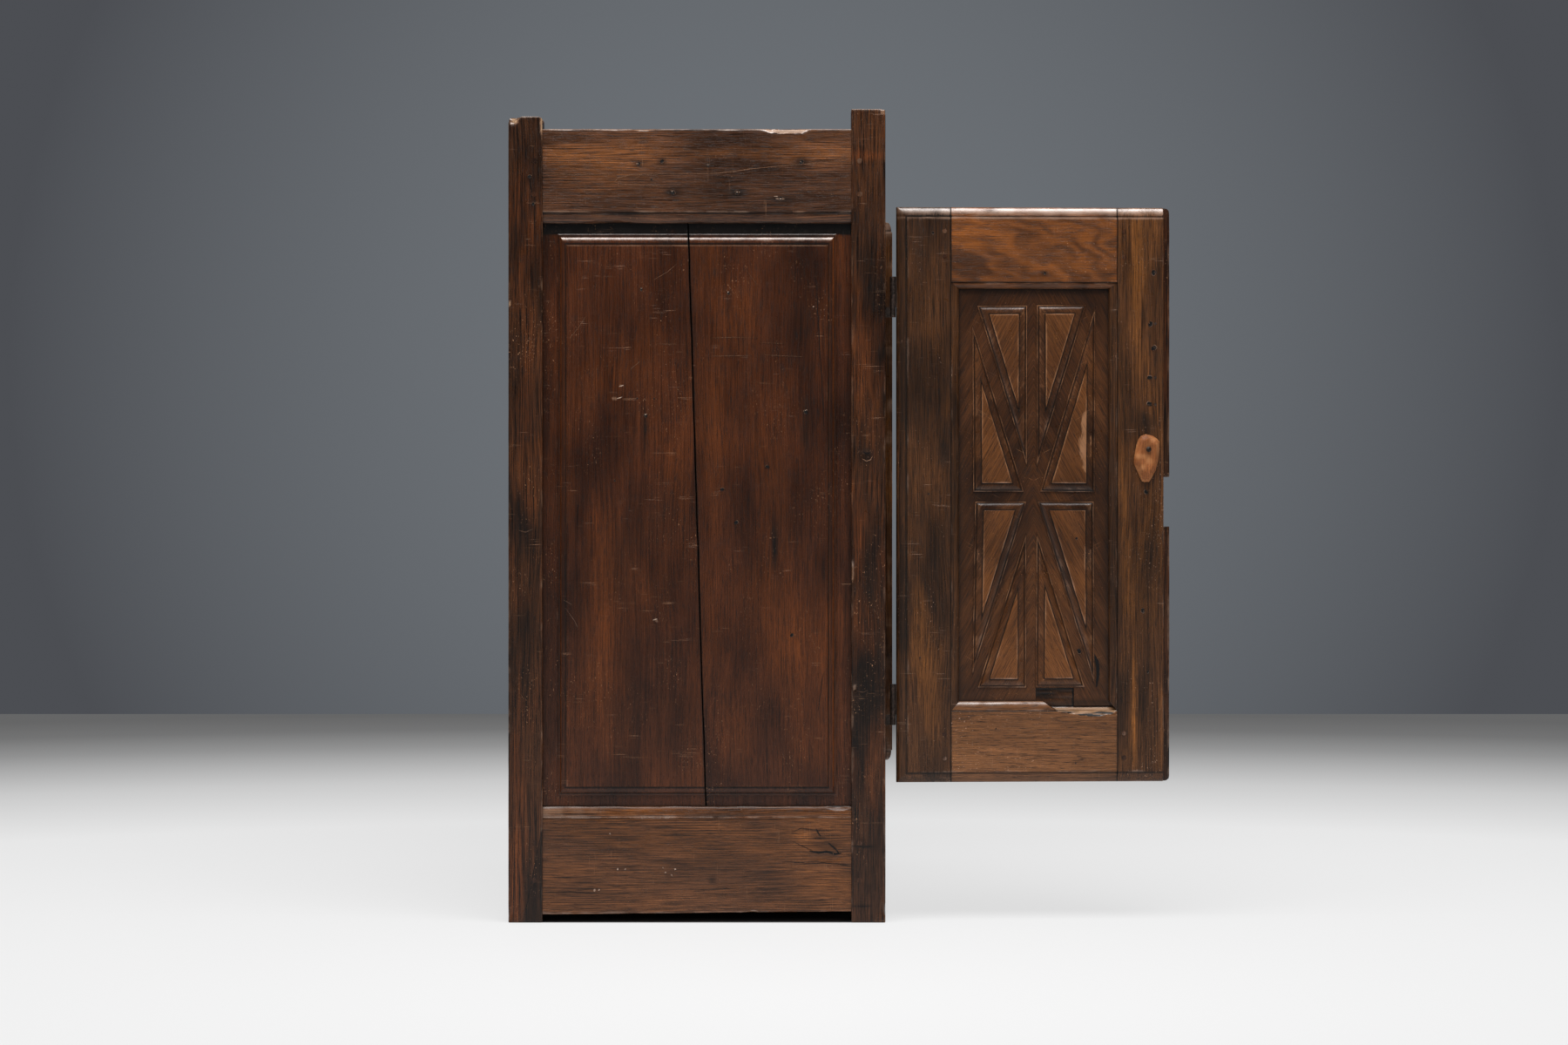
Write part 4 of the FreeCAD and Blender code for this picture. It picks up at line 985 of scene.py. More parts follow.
def side_rail(side, level, seed, chips):
    """Rail between the posts, with its moulded edge towards the panel."""
    node = f"left_side_{level}_rail"
    low, high = span(node, "z")
    edge, way, far = (low, 1, high) if level == "top" else (high, -1, low)
    line = edge + way * rail_mould_width
    mould_front = rail_front + fillet_step
    section = (
        (far - way * 0.2, rail_front, 1.6, 1.6),
        (line, rail_front, 0.5, 0.5),
        (line, mould_front, 0.2, 0.0),
        (edge + way * 0.2, mould_front, rail_mould_width - 0.4, rail_mould_depth - fillet_step),
        (edge + way * 0.2, rail_rear, 0.8, 0.8),
        (far - way * 0.2, rail_rear, 1.2, 1.2),
    )
    warm, grime_and_shade, polish, bow = rail_looks[level]
    made = timber("zxy", section, rail_ends, seed, 0.9, warm, grime_and_shade, chips, end_cut=0.6, pitch=1.4,
                  step=3.5, polish=polish, bow=bow)
    made["finish"][made["points"][:, 0] > handled_depth, 0] *= unhandled_share
    shells = [made] + (rail_marks[level] if side == "left" else [])
    shells = shells if side == "left" else [mirrored(part) for part in shells]
    return piece(f"{side}_side_{level}_rail_wood", shells, rail_wood, "carcase", "frame_wood",
                 f"{side}_side_{level}_rail")


top_rail_chips = (
    ((2, 362, 1186), (9, 26, 3.6), (0.8, 0, -2.0), "worn"),
    ((2, 148, 1185), (8, 40, 6.5), (2.2, 0, -2.0), "torn"),
    ((2, 210, 1187), (5, 30, 2.5), (0.6, 0, -1.0), "torn"),
    ((2, 440, 1187), (5, 40, 2.5), (0.6, 0, -0.8), "torn"),
    ((4, 412, 1044), (12, 40, 5.0), (0.6, 0, 1.2), "dent"),
    ((4, 250, 1044), (12, 60, 4.0), (0.6, 0, 0.9), "dent"),
    ((1, 156, 1081), (2.5, 8, 3.0), (0.8, 0, 0), "worn"),
)
bottom_rail_chips = (
    ((2, 70, 172), (8, 20, 6), (1.2, 0, -1.4), "dent"),
    ((2, 330, 174), (6, 12, 3.0), (0.4, 0, -1.0), "dent"),
    ((2, 90, 97), (3, 24, 6), (1.0, 0, 0), "dent"),
    ((2, 200, 13), (8, 12, 5.0), (0.3, 0, 2.0), "worn"),
)
for side, seed in (("left", 21), ("right", 27)):
    side_rail(side, "top", seed, top_rail_chips if side == "left" else top_rail_chips[:1])
    side_rail(side, "bottom", seed + 1, bottom_rail_chips if side == "left" else ())
print("rails between the posts from", rail_ends, "mm")

# %% [markdown]
# ## Patina on boards with a worked face
# A raised panel and a door stile aren't plain sections: their mouldings turn corners. For these the
# front is a height over a flat grid, and a mitre falls out by itself where two edges are equally
# near. Grid lines crowd at the mouldings, and the same shares on both sides keep the mitre crisp.

# %% Boards as a height over a grid
def lines(low, high, pitch, marks=()):
    """Grid positions from low to high: every mark exactly, and the gaps divided at the pitch."""
    kept = np.concatenate(((low, high), np.asarray(marks, float)))
    kept = np.unique(np.round(kept[(kept >= low) & (kept <= high)], 3))
    parts = [np.linspace(a, b, max(1, round((b - a) / pitch)) + 1)[:-1] for a, b in zip(kept, kept[1:])]
    return np.concatenate(parts + [kept[-1:]])


def soft(distance, radius):
    """Drop of a rounded arris: r - sqrt(r^2 - (r - d)^2) within the radius, else 0."""
    inside = np.clip(radius - distance, 0, radius)
    return radius - np.sqrt(radius ** 2 - inside ** 2)


# As timber_shift, for slabs
slab_shift = 53.3


def slab(axes, across, along, front, back, near, seed, worn=1.0, warm=0.0, grime_and_shade=0.0, chips=(),
         wave=0.3, polish=0.0):
    """Board over a grid of across and along values; depth grows from its front to its back.

    near is 1 on an arris of the front. warm, grime and polish may differ from place to place.
    Grime may carry painted shade, and polish painted highlights.
    """
    shape = across.shape
    key = np.stack((across, front, along), axis=-1) + seed * slab_shift
    sag = wave * (1 + noise(key * (1, 1, 0.5), 38.0, seed)) * 0.5
    sag = sag + near * worn * 0.3 * np.clip(noise(key, 9.0, seed + 1), 0, 1)
    top = np.stack((across, front + sag, along), axis=-1)
    bottom = np.stack((across, back - 0.2 * (1 + noise(key, 60.0, seed + 2)), along), axis=-1)
    local = np.concatenate((top.reshape(-1, 3), bottom.reshape(-1, 3)))
    points, torn, soiled = knock(placed(axes, *local.T), chips, seed)
    key = local + seed * slab_shift
    close = np.concatenate((near.ravel(), near.ravel() * 0.4))
    rub = close * np.clip(0.45 + 0.9 * noise(key, 23.0, seed + 3) + 0.4 * noise(key, 5.0, seed + 4), 0, 1)
    shine, dirt, warmth = (np.tile(np.broadcast_to(value, shape).ravel(), 2)
                           for value in (polish, grime_and_shade, warm))
    shine = shine * np.clip(0.85 + 0.45 * noise(key, 14.0, seed + 8) + (shine > 0.95), 0, 1)
    wear = np.maximum(np.maximum(worn * rub * 0.8, shine), torn)
    dirt = np.maximum(dirt + 0.14 * noise(key, 120.0, seed + 5) - 0.6 * torn, soiled)
    warmth = warmth + 0.22 * noise(key * (1, 1, 0.35), 52.0, seed + 6)
    return shell(points, slab_faces(*shape), swirled(key, seed + 7), finish_and_light_of(wear, dirt, warmth))


# Shares of a quarter round's width, close together where it is steep
quarter_shares = 1 - np.cos(np.linspace(0, math.pi / 2, 13))
print("a quarter round has", len(quarter_shares), "grid lines")

# %% [markdown]
# ## Raised side panels
# Each side panel is two boards that have shrunk apart, so a slanting slit runs from top to bottom.
# The raised field has a small step, a quarter round and a flat fillet on all four sides. Every side
# gives the share of the moulding that a place lies at, and the smallest share wins, which mitres
# the corners.

# %% The face of a side panel
margin_setback, field_setback, panel_back = 14.3, 6.2, 21.8
panel_step = 2.0
field_y, field_z = (73.5, 490.5), (189.0, 1029.0)
mould_side, mould_top = 13.7, 17.5
# Shares of the moulding's width: the end of the step, the start and width of the quarter round
step_end, round_start, round_part = 0.08, 0.28, 0.56
# Share of the moulding's height that the small step takes
step_rise = 0.15
panel_shares = np.concatenate((
    (0.0, 0.04, 0.08, 0.18), round_start + round_part * quarter_shares, (0.93, 1.0)))


def panel_face(y, z):
    """Setback of the panel's face: margin, step, quarter round, fillet and field."""
    share = np.minimum((y - field_y[0]) / mould_side, (field_y[1] - y) / mould_side)
    share = np.minimum(share, (z - field_z[0]) / mould_side)
    share = np.minimum(share, (field_z[1] - z) / mould_top)
    steep = np.clip(1 - (share - round_start) / round_part, 0, 1)
    rise = step_rise * np.clip(share / step_end, 0, 1) + (1 - step_rise) * np.sqrt(1 - steep ** 2)
    foot, shelf = margin_setback - panel_step, field_setback + fillet_step
    setback = np.where(share < 0, margin_setback, foot - (foot - shelf) * rise)
    return np.where(share > 1, field_setback, setback), share


middle_z = (field_z[0] + field_z[1]) / 2
print("the field stands", margin_setback - float(panel_face(200.0, middle_z)[0]), "mm out of its margin")

# %% [markdown]
# ## Grid of a panel board
# A regular grid would cut across the mouldings. So fixed lines follow them, and from the last one
# the rest fan out to the slit, which slants.

# %% Grid of a panel board
slit_bottom, slit_top, slit_width = 267.7, 295.0, 1.3
panel_pitch, line_pair = 4.0, 0.15
# The grid is finer beside the slit
slit_shares = np.concatenate((np.linspace(0, 1, 50)[1:-1], (0.985, 0.992, 0.997, 0.999, 1.0)))


def panel_grid(half):
    """Grid of y and z, and the joint's y for each z: fixed lines first, then lines that fan out."""
    z_marks = np.concatenate((
        field_z[0] + mould_side * panel_shares, field_z[1] - mould_top * panel_shares,
        (field_z[0] - line_pair, field_z[0] + mould_side + line_pair, field_z[1] + line_pair),
        field_z[1] - mould_top - np.array((line_pair, 0.6, 1.4)),
    ))
    z_low, z_high = span("left_side_panel_front_board", "z")
    z = lines(z_low, z_high, panel_pitch, z_marks)
    slit = slit_bottom + (z - z_low) / (z_high - z_low) * (slit_top - slit_bottom)
    slit = slit + 0.35 * noise_at(z, 0, 0, 40.0, 5)
    if half == "front":
        outer, way, edge, joint = span("left_side_panel_front_board", "y")[0], 1, field_y[0], slit
    else:
        outer, way, edge = span("left_side_panel_back_board", "y")[1], -1, field_y[1]
        joint = slit + slit_width
    margin = abs(edge - outer)
    fixed = lines(0, margin + mould_side + line_pair, panel_pitch,
                  np.concatenate((margin + mould_side * panel_shares, (margin - line_pair,))))
    start = outer + way * fixed[-1]
    y = np.concatenate((np.broadcast_to(outer + way * fixed[:, None], (len(fixed), len(z))),
                        start + (joint - start) * slit_shares[:, None]))
    return y, np.broadcast_to(z, y.shape), joint


print("grid of the front board:", panel_grid("front")[0].shape)

# %% [markdown]
# ## Patina of the panels
# The upper moulding faces the light, so painted highlights lie on its round and its fillet. Painted
# shade lies under the top rail, along the edges beside the posts and in the corners of the moulding,
# and the upright sides of the moulding get painted highlights and shade. Nails, painted glints, splits
# and scratches stand where they do on the real boards.

# %% Where the panels are stained, nailed and scratched
# Stains and warm clouds: y, z, half width, half length, strength
panel_stains = (
    (166, 562, 5, 34, 1.0), (119, 735, 9, 45, 0.6), (359, 735, 4, 34, 0.9), (235, 924, 4, 22, 0.6),
    (365, 930, 6, 20, 0.35), (330, 640, 26, 60, 0.25), (400, 560, 20, 90, 0.2), (300, 880, 14, 90, 0.2),
    (200, 300, 30, 60, 0.2), (380, 330, 20, 90, 0.25), (120, 900, 16, 120, 0.25),
)
panel_glow = (
    (256, 770, 16, 170, 0.3), (135, 430, 45, 80, 0.35), (110, 260, 40, 50, 0.25), (350, 880, 50, 40, 0.1),
    (330, 700, 60, 50, 0.08), (420, 430, 22, 110, 0.25), (100, 620, 14, 100, 0.2), (225, 905, 30, 60, 0.2),
    (140, 330, 60, 110, 0.22), (410, 300, 50, 110, 0.22), (200, 470, 40, 60, 0.15),
)
panel_nails = {
    "front": ((235.2, 940.7, 1.8), (119.5, 762.6, 2.6), (176.7, 680.7, 2.3), (244.3, 646.9, 2.3),
              (223.5, 597.5, 2.4), (140.3, 429.2, 2.0)),
    "back": ((365.2, 945.9, 1.8), (358.7, 757.4, 2.2), (405.0, 660.0, 1.0), (371.0, 783.0, 0.9),
             (346.0, 783.0, 0.8)),
}
# Painted glints beside the nails: y, z, half length
panel_glints = {
    "front": ((235.6, 942.0, 1.4), (120.5, 765.0, 3.2), (108.0, 920.0, 1.2)),
    "back": ((365.0, 947.5, 1.4), (358.5, 759.0, 1.8), (395.0, 801.5, 3.5), (398.0, 783.5, 4.2),
             (344.5, 452.5, 3.0)),
}
# Splits are full of dirt, and scratches show the paler wood: path, width, wear, dirt
panel_lines = {
    "front": ((((105, 989), (101, 900), (96, 817), (92, 734)), 1.1, 0.0, 2.0),
              (((93, 373), (98, 340), (101, 315)), 1.0, 0.0, 1.8),
              (((178, 288), (177, 206)), 0.9, 0.0, 1.6),
              (((262, 873), (230, 874), (190, 873)), 0.4, 0.6, 0.0),
              (((262, 846), (200, 847)), 0.5, 0.6, 0.0),
              (((190, 866), (150, 865)), 0.4, 0.5, 0.0),
              (((185, 848), (122, 845)), 0.4, 0.6, 0.0),
              (((211, 978), (190, 950)), 0.4, 0.4, 0.0)),
    "back": ((((348, 959), (326, 972), (313, 983)), 0.5, 0.6, 0.0),
             (((472, 873), (458, 890), (448, 906)), 0.5, 0.6, 0.0),
             (((382, 826), (366, 839)), 0.6, 0.6, 0.0),
             (((479, 470), (466, 452), (460, 440)), 0.5, 0.6, 0.0),
             (((482, 482), (468, 474)), 0.5, 0.6, 0.0),
             (((340, 864), (312, 864)), 0.5, 0.5, 0.0)),
}
panel_dents = (
    ((6, 397, 801), (1.2, 3.5, 1.6), (0.3, 0, 0), "worn"),
    ((6, 405, 783), (1.2, 4.5, 2.6), (0.4, 0, 0), "worn"),
    ((6, 344, 452), (1.2, 3.0, 2.0), (0.3, 0, 0), "worn"),
)
print("lines on the panels:", sum(len(table) for table in panel_lines.values()))

# %% [markdown]
# ## Making the panels
# The share of the moulding tells what belongs to its step, its round or its fillet, so masks on it
# make them rubbed or warm and paint highlights and shade on them. The tables add what stands in one
# place only.

# %% Four panel boards
def panel_board(half, seed, chips=()):
    """Front or back board of the left side panel, from the groove to the slit."""
    y, z, joint = panel_grid(half)
    face, share = panel_face(y, z)
    gap = np.abs(joint - y)
    face = face + soft(gap, 0.9) + (0.25 if half == "front" else 0.0)
    near = 0.2 * bell(share, 1.04, 0.06) + 0.2 * bell(share, 0, 0.06)
    near = near + 0.2 * bell(gap, 0, 1.0)
    # Painted highlights on the round, the fillet and the step of the moulding that faces up
    top_share = (field_z[1] - z) / mould_top
    facing_up = (np.abs(top_share - share) < 0.02) & (share > 0)
    top_highlight = 0.84 * bell(share, 0.44, 0.13) + 0.84 * bell(share, 1.02, 0.03)
    top_highlight = top_highlight + 0.4 * bell(share, 0.05, 0.04)
    polish = np.where(facing_up, top_highlight, 0)
    # Painted shade under the top rail, beside the posts and in two lines along the moulding
    top_shade = np.clip((z - field_z[1]) / 2 + 1, 0, 1) * (0.95 + 0.35 * np.clip((z - 1032) / 8, 0, 1))
    from_posts = np.minimum(y - post_size, depth - post_size - y)
    edge_shade = 0.35 * np.exp(-np.clip(from_posts, 0, None) / 9)
    lines_shade = 0.9 * bell(share, 0.2, 0.06) + 1.2 * bell(share, 0.86, 0.07)
    grime_and_shade = top_shade + edge_shade + lines_shade + spots(y, z, panel_stains) + 1.5 * np.exp(-gap / 0.7)
    # On the upright sides, painted shade in the middle of the round and painted highlights beside it, given
    # as warmth
    upright = ~facing_up & (z > field_z[0] + mould_side) & (share > 0) & (share < 1.1)
    grime_and_shade = grime_and_shade + np.where(upright, 0.45 * bell(share, 0.58, 0.1), 0)
    side_highlight = bell(share, 0.3, 0.12) + bell(share, 0.85, 0.12)
    glow = 0.5 if half == "front" else 0.25
    warm = spots(y, z, panel_glow) + np.where(upright, glow * side_highlight, 0) + 0.04
    return slab("yxz", y, z, face, np.full(y.shape, panel_back), np.clip(near, 0, 1), seed, 0.9, warm,
                grime_and_shade, chips, 0.25, polish)


def panel_marks(half):
    """Nail marks, painted glints, splits and scratches of one board of the left panel."""
    painted_glints = [(((y + reach, z - reach * 0.3), (y, z), (y - reach, z + reach * 0.3)), 1.4, 1.0, 0.0)
             for y, z, reach in panel_glints[half]]
    return (nail_marks("yxz", field_setback + 0.15, 250, panel_nails[half])
            + cracks("yxz", field_setback + 0.1, 290, painted_glints)
            + cracks("yxz", field_setback + 0.1, 270, panel_lines[half]))


for side, seed in (("left", 31), ("right", 37)):
    for half, offset in (("front", 0), ("back", 1)):
        shells = [panel_board(half, seed + offset, panel_dents if side == "left" else ())]
        if side == "left":
            shells += panel_marks(half)
        else:
            shells = [mirrored(part) for part in shells]
        piece(f"{side}_side_panel_{half}_board_wood", shells, panel_wood, "carcase", "panel_wood",
              f"{side}_side_panel_{half}_board")
print("pieces so far:", tally)

# %% [markdown]
# ## Plain boards and rails that close the carcase
# Front and back rails, back boards, top, floor and shelf are plain timbers. Each takes its section
# and length from its CAD box, so this is a table of nodes with the axes of their grain.

# %% Boards and cross rails
cross_rail_ends = (post_size - tuck, width - post_size + tuck)
# Axes of across, depth and along, the nodes, their wood and its slot
carcase_timbers = (
    ("zyx", ("front_top_rail", "front_bottom_rail", "back_top_rail", "back_bottom_rail"),
     frame_wood, "frame_wood"),
    ("xyz", [f"back_board_{number}" for number in range(1, 5)], inner_wood, "inner_wood"),
    ("yzx", ("top_board_front", "top_board_back", "floor_board_front", "floor_board_back",
             "shelf_board"), inner_wood, "inner_wood"),
    ("zxy", [f"{side}_{kind}" for side in ("left", "right")
             for kind in ("top_cleat", "floor_cleat", "shelf_bearer")], inner_wood, "inner_wood"),
)
seeds = itertools.count(50)
# Surfaces are set in by this much, but back boards reach past their edges to close their joints
board_skin, board_lap, end_skin = 0.2, 1.6, 0.3
for axes, nodes, material, slot in carcase_timbers:
    for node in nodes:
        (low_a, high_a), (low_b, high_b), (low_c, high_c) = (span(node, axis) for axis in axes)
        skin = -board_lap if node.startswith("back_board") else board_skin
        section = bar((low_a + skin, low_b + board_skin), (high_a - skin, high_b - board_skin), 1.3)
        along = cross_rail_ends if node.endswith("rail") else (low_c + end_skin, high_c - end_skin)
        made = timber(axes, section, along, next(seeds), 0.8, 0.0, 0.05, step=9.0, pitch=7.0)
        piece(node + "_wood", [made], material, "carcase", slot, node)
print("pieces so far:", tally)

# %% [markdown]
# ## Door frames
# A door is drawn closed, on the left, in the same millimetres as the CAD model. The left door is
# then turned 87 degrees about its hinge pins, and the right door is the mirror image. Round the
# hinge side, top and bottom runs a quarter round with a fillet, and the opening has one too.

# %% Sizes of a closed door
open_angle = math.radians(87)
pin_x, pin_y = 26.0, -11.2
door_x, door_z = (31.6, 432.75), (207.6, 1069.6)
shoulder_x, shoulder_z = (112.6, 363.15), (314.6, 957.0)
sight_x, sight_z = (125.2, 350.55), (328.6, 947.4)
face_y, rear_y = -21.75, -0.65
edge_width, edge_depth = 15.6, 8.3
sticking_depth = 8.8


def swung(part):
    """Same shell turned with the open left door about its hinge pins."""
    offset = part["points"] - (pin_x, pin_y, 0)
    cos, sin = math.cos(-open_angle), math.sin(-open_angle)
    turned = np.stack((offset[:, 0] * cos - offset[:, 1] * sin,
                       offset[:, 0] * sin + offset[:, 1] * cos, offset[:, 2]), axis=1)
    return {**part, "points": turned + (pin_x, pin_y, 0)}


def edge_drop(distance):
    """Depth of the outer moulding: fillet, then a quarter round down to the door's edge."""
    steep = np.clip(1 - distance / edge_width, 0, 1)
    drop = fillet_step + (edge_depth - fillet_step) * (1 - np.sqrt(1 - steep ** 2))
    return np.where(distance < edge_width, drop, 0.0)


def edge_marks(start, way):
    """Grid lines for the outer moulding that begins at an edge."""
    marks = edge_width * quarter_shares
    return start + way * np.concatenate((marks, (edge_width - 0.1, edge_width + 0.1)))


def soft_marks(start, way):
    """Grid lines for a softened arris."""
    return start + way * np.array((0.0, 0.1, 0.3, 0.6, 1.0, 2.2))


print("the door's edge lies", float(edge_drop(0.0)), "mm behind its face")

# %% [markdown]
# ## The broken bottom rail
# On the left door the moulding of the bottom rail has broken off and has torn a splinter out of the
# rail. A boolean cut would leave a clean hole, so the torn place is a depth over the rail's own
# grid, with ridges along the grain, and a ledge stands where the moulding was.

# %% The broken bottom rail
# Where the moulding breaks off, and where its torn-out strip starts and ends
break_x, torn_x = 271.0, (262, 361)
# Lower border of the torn place: x, z
torn_line = np.array(((262, 315.8), (285, 311.0), (312, 307.1), (335, 306.2), (352, 308.5), (361, 313.0)))
torn_least = 0.15


def torn_depth(x, z):
    """Depth of the torn-out strip: it slopes down into the rail from a curved lower line."""
    line = np.interp(x, torn_line[:, 0], torn_line[:, 1]) + 0.9 * noise_at(x, 0, 0, 6.0, 3)
    ridges = noise_at(x * 0.15, 0, z, 1.6, 4)
    depth = np.clip(z - line, 0, None) * (0.75 + 0.25 * ridges)
    return np.where((x > torn_x[0]) & (x < torn_x[1]), depth, 0.0)


def torn_backing(seed):
    """What is left behind the broken moulding: a ledge that slopes up to a lip at the back.

    The ledge is pale in front and dirty towards the opening, and it is cut to the mitre.
    """
    section = ((314.5, -14.2, 0.3, 0.3), (321.0, -9.0, 0.5, 0.5), (321.0, -4.6, 0.2, 0.2),
               (328.4, -4.6, 0.2, 0.5), (328.4, rear_y, 0.5, 0.5), (314.5, rear_y, 0.3, 0.3))
    start, end = 252.0, 363.0

    def ends(across):
        return start + 0 * across, shoulder_x[1] - (across - shoulder_z[0]) * 0.9

    return timber("zyx", section, (start, end), seed, 0.8, 0.0,
                  lambda z, x: np.clip((z - 318) * 0.6, 0, 1.6), (), pitch=1.2, step=2.5, ends=ends,
                  wave=0.6, polish=lambda z, x: np.where((z < 318.5) & (x > torn_x[0]), 1.3, 0.0))


print("the torn place is", round(float(torn_depth(np.array([312.0]), shoulder_z[0])[0]), 1), "mm deep")

# %% [markdown]
# ## Stiles and rails of a door
# A member is two closed shells. Its body stops at the shoulder line. A separate moulded strip fills
# the way from there to the opening, with mitred ends, because a moulding planed on the inner edge
# has to meet its neighbour at the mitre while the body butts against the stile.

# %% Bodies of the members
member_spans = {
    "hinge_stile": ((door_x[0], shoulder_x[0]), door_z),
    "meeting_stile": ((shoulder_x[1], door_x[1]), door_z),
    "top_rail": (shoulder_x, (shoulder_z[1], door_z[1])),
    "bottom_rail": (shoulder_x, (door_z[0], shoulder_z[0])),
}


def member_grid(kind, broken):
    """Grid of x and z over a member, finer at its outer moulding and its arrises."""
    (x_low, x_high), (z_low, z_high) = member_spans[kind]
    first = edge_marks if kind == "hinge_stile" else soft_marks
    x_marks = np.concatenate((first(x_low, 1), soft_marks(x_high, -1)))
    z_marks = np.concatenate((edge_marks(door_z[0], 1), edge_marks(door_z[1], -1), soft_marks(z_low, 1),
                              soft_marks(z_high, -1)))
    if broken:
        z_marks = np.concatenate((z_marks, np.arange(303.0, z_high, 1.2)))
    x, z = lines(x_low, x_high, 3.0, x_marks), lines(z_low, z_high, 3.5, z_marks)
    return np.meshgrid(x, z, indexing="ij")


def member_body(kind, seed, warm, grime_and_shade, broken):
    """Body of a stile or rail as a slab; its face drops at the outer moulding and at its arrises."""
    (x_low, x_high), (z_low, z_high) = member_spans[kind]
    upright = kind.endswith("stile")
    x, z = member_grid(kind, broken)
    outer = np.minimum(z - door_z[0], door_z[1] - z)
    joint = np.minimum(x - x_low, x_high - x)
    if kind == "hinge_stile":
        outer, joint = np.minimum(outer, x - x_low), x_high - x
    if not upright:
        joint = np.minimum(joint, z - z_low if kind == "top_rail" else z_high - z)
    face = face_y + edge_drop(outer) + soft(joint, 0.8)
    below_top = door_z[1] - z
    near = np.where(below_top < 20, 1.0, 0.45) * bell(outer, edge_width, 0.9)
    near += 0.3 * bell(joint, 0, 1.4)
    near += 0.35 * bell(outer, 0, 2.0)
    # Painted highlights on the top moulding and on its fillet line
    top_line_highlight = 0.84 * bell(below_top, edge_width, 0.9)
    polish = 0.84 * bell(below_top, 6, 6) + top_line_highlight
    seam = x - x_low if kind == "meeting_stile" else joint
    # Besides grime and dark joints, painted shade runs in a line just inside the fillet of the outer
    # moulding
    dirt = grime_and_shade(x, z) + 0.8 * bell(outer - edge_width, -1.8, 1.2) + 1.4 * np.exp(-seam / 0.8)
    if broken:
        cut = torn_depth(x, z)
        face = face + cut
        polish = np.where(cut > torn_least, 1.0, polish)
        splits = noise_at(x * 0.08, 0, z, 1.5, 7)
        dirt = np.where(cut > torn_least, 1.6 * np.clip(splits * 2.4, 0, 1), dirt)
    axes, across, along = ("xyz", x, z) if upright else ("zyx", z, x)
    back = np.full(x.shape, rear_y)
    return slab(axes, across, along, face, back, np.clip(near, 0, 1), seed, 1.0, warm(x, z), dirt, (),
                0.3, polish)


# %% [markdown]
# ## Strips round the opening
# A strip is a timber whose corner towards the opening is one long round. Its ends are slanted by a
# function of the place across, which gives the mitre, or the ragged end where it broke off.

# %% Moulded strips
def member_strip(kind, seed, warm, broken):
    """Moulded strip between a member's shoulder line and the opening, cut to its mitres."""
    upright = kind.endswith("stile")
    end = 0 if kind in ("hinge_stile", "bottom_rail") else 1
    shoulders, sights = (shoulder_x, sight_x) if upright else (shoulder_z, sight_z)
    shoulder, sight = shoulders[end], sights[end]
    cross_shoulders, cross_sights = (shoulder_z, sight_z) if upright else (shoulder_x, sight_x)
    front = face_y + fillet_step
    run = abs(sight - shoulder) - 0.3
    section = (
        (shoulder, front, 0.2, 0.2),
        (sight, front, run, sticking_depth - fillet_step),
        (sight, rear_y, 0.6, 0.6),
        (shoulder, rear_y, 0.2, 0.2),
    )

    def ends(across):
        share = (across - shoulder) / (sight - shoulder)
        low, high = (a + (b - a) * share for a, b in zip(cross_shoulders, cross_sights))
        if broken:
            high = break_x - share * 20 + 1.5 * noise_at(across, share, share, 2.5, 8)
        return low, high

    axes = "xyz" if upright else "zyx"
    worn = 0.35 if upright else 0.8
    # The polish paints a highlight along the round of the strip, strongest on the bottom rail, whose strip
    # faces up
    shine = 0.5 if kind == "bottom_rail" else 0.1
    return timber(axes, section, cross_shoulders, seed, worn, warm, 0.25, (), pitch=2.0, step=4.0,
                  end_cut=0.1, ends=ends, wave=0.2,
                  polish=lambda across, along: shine * bell(across, sight, 7))


# %% [markdown]
# ## Looks of the door's members
# The stiles and rails came from different boards: the top rail has a curled figure, and the bottom
# one is smooth and pale. Each member has its warm clouds, its stains and its nail marks in a table.

# %% Eight door members
# Warmth and grime as spots (x, z, half width, half length, strength), nail marks, and the wood
door_members = {
    "hinge_stile": (
        clouds(-0.2, (75, 410, 30, 75, 0.55), (90, 300, 20, 60, 0.2), (60, 800, 9, 80, 0.3)),
        clouds(0.1, (102, 705, 9, 30, 0.6), (70, 1020, 40, 60, 0.3), (38, 640, 6, 500, 0.5),
               (60, 640, 30, 200, 0.15)),
        ((85.4, 1031.0, 1.6), (79.0, 640.0, 1.0), (66.0, 395.0, 0.9)), door_wood),
    "meeting_stile": (
        clouds(-0.03, (392, 960, 9, 130, 0.7), (388, 330, 4, 90, 0.8), (376, 500, 8, 150, 0.25)),
        clouds(0.05, (426, 900, 10, 120, 0.3), (405, 745, 18, 22, 0.6), (420, 560, 14, 100, 0.3),
               (375, 700, 8, 120, 0.25), (410, 373, 10, 20, 0.4)),
        ((417.7, 972.0, 3.0), (412.9, 894.8, 3.0), (418.1, 858.9, 3.2), (411.7, 814.5, 2.8),
         (411.3, 775.0, 2.9), (406.2, 642.7, 2.6), (401.3, 464.4, 2.6), (409.1, 372.7, 1.6)), door_wood),
    "top_rail": (
        clouds(0.3), clouds(0.0, (253, 971, 7, 3, 0.9), (140, 990, 26, 20, 0.25)),
        ((253.4, 971.0, 1.5),), flamed_wood),
    "bottom_rail": (
        clouds(0.3), clouds(0.0, (160, 270, 50, 10, 0.15), (240, 213, 200, 7, 0.35)),
        ((300.0, 236.0, 0.8), (180.0, 288.0, 0.8)), smooth_wood),
}
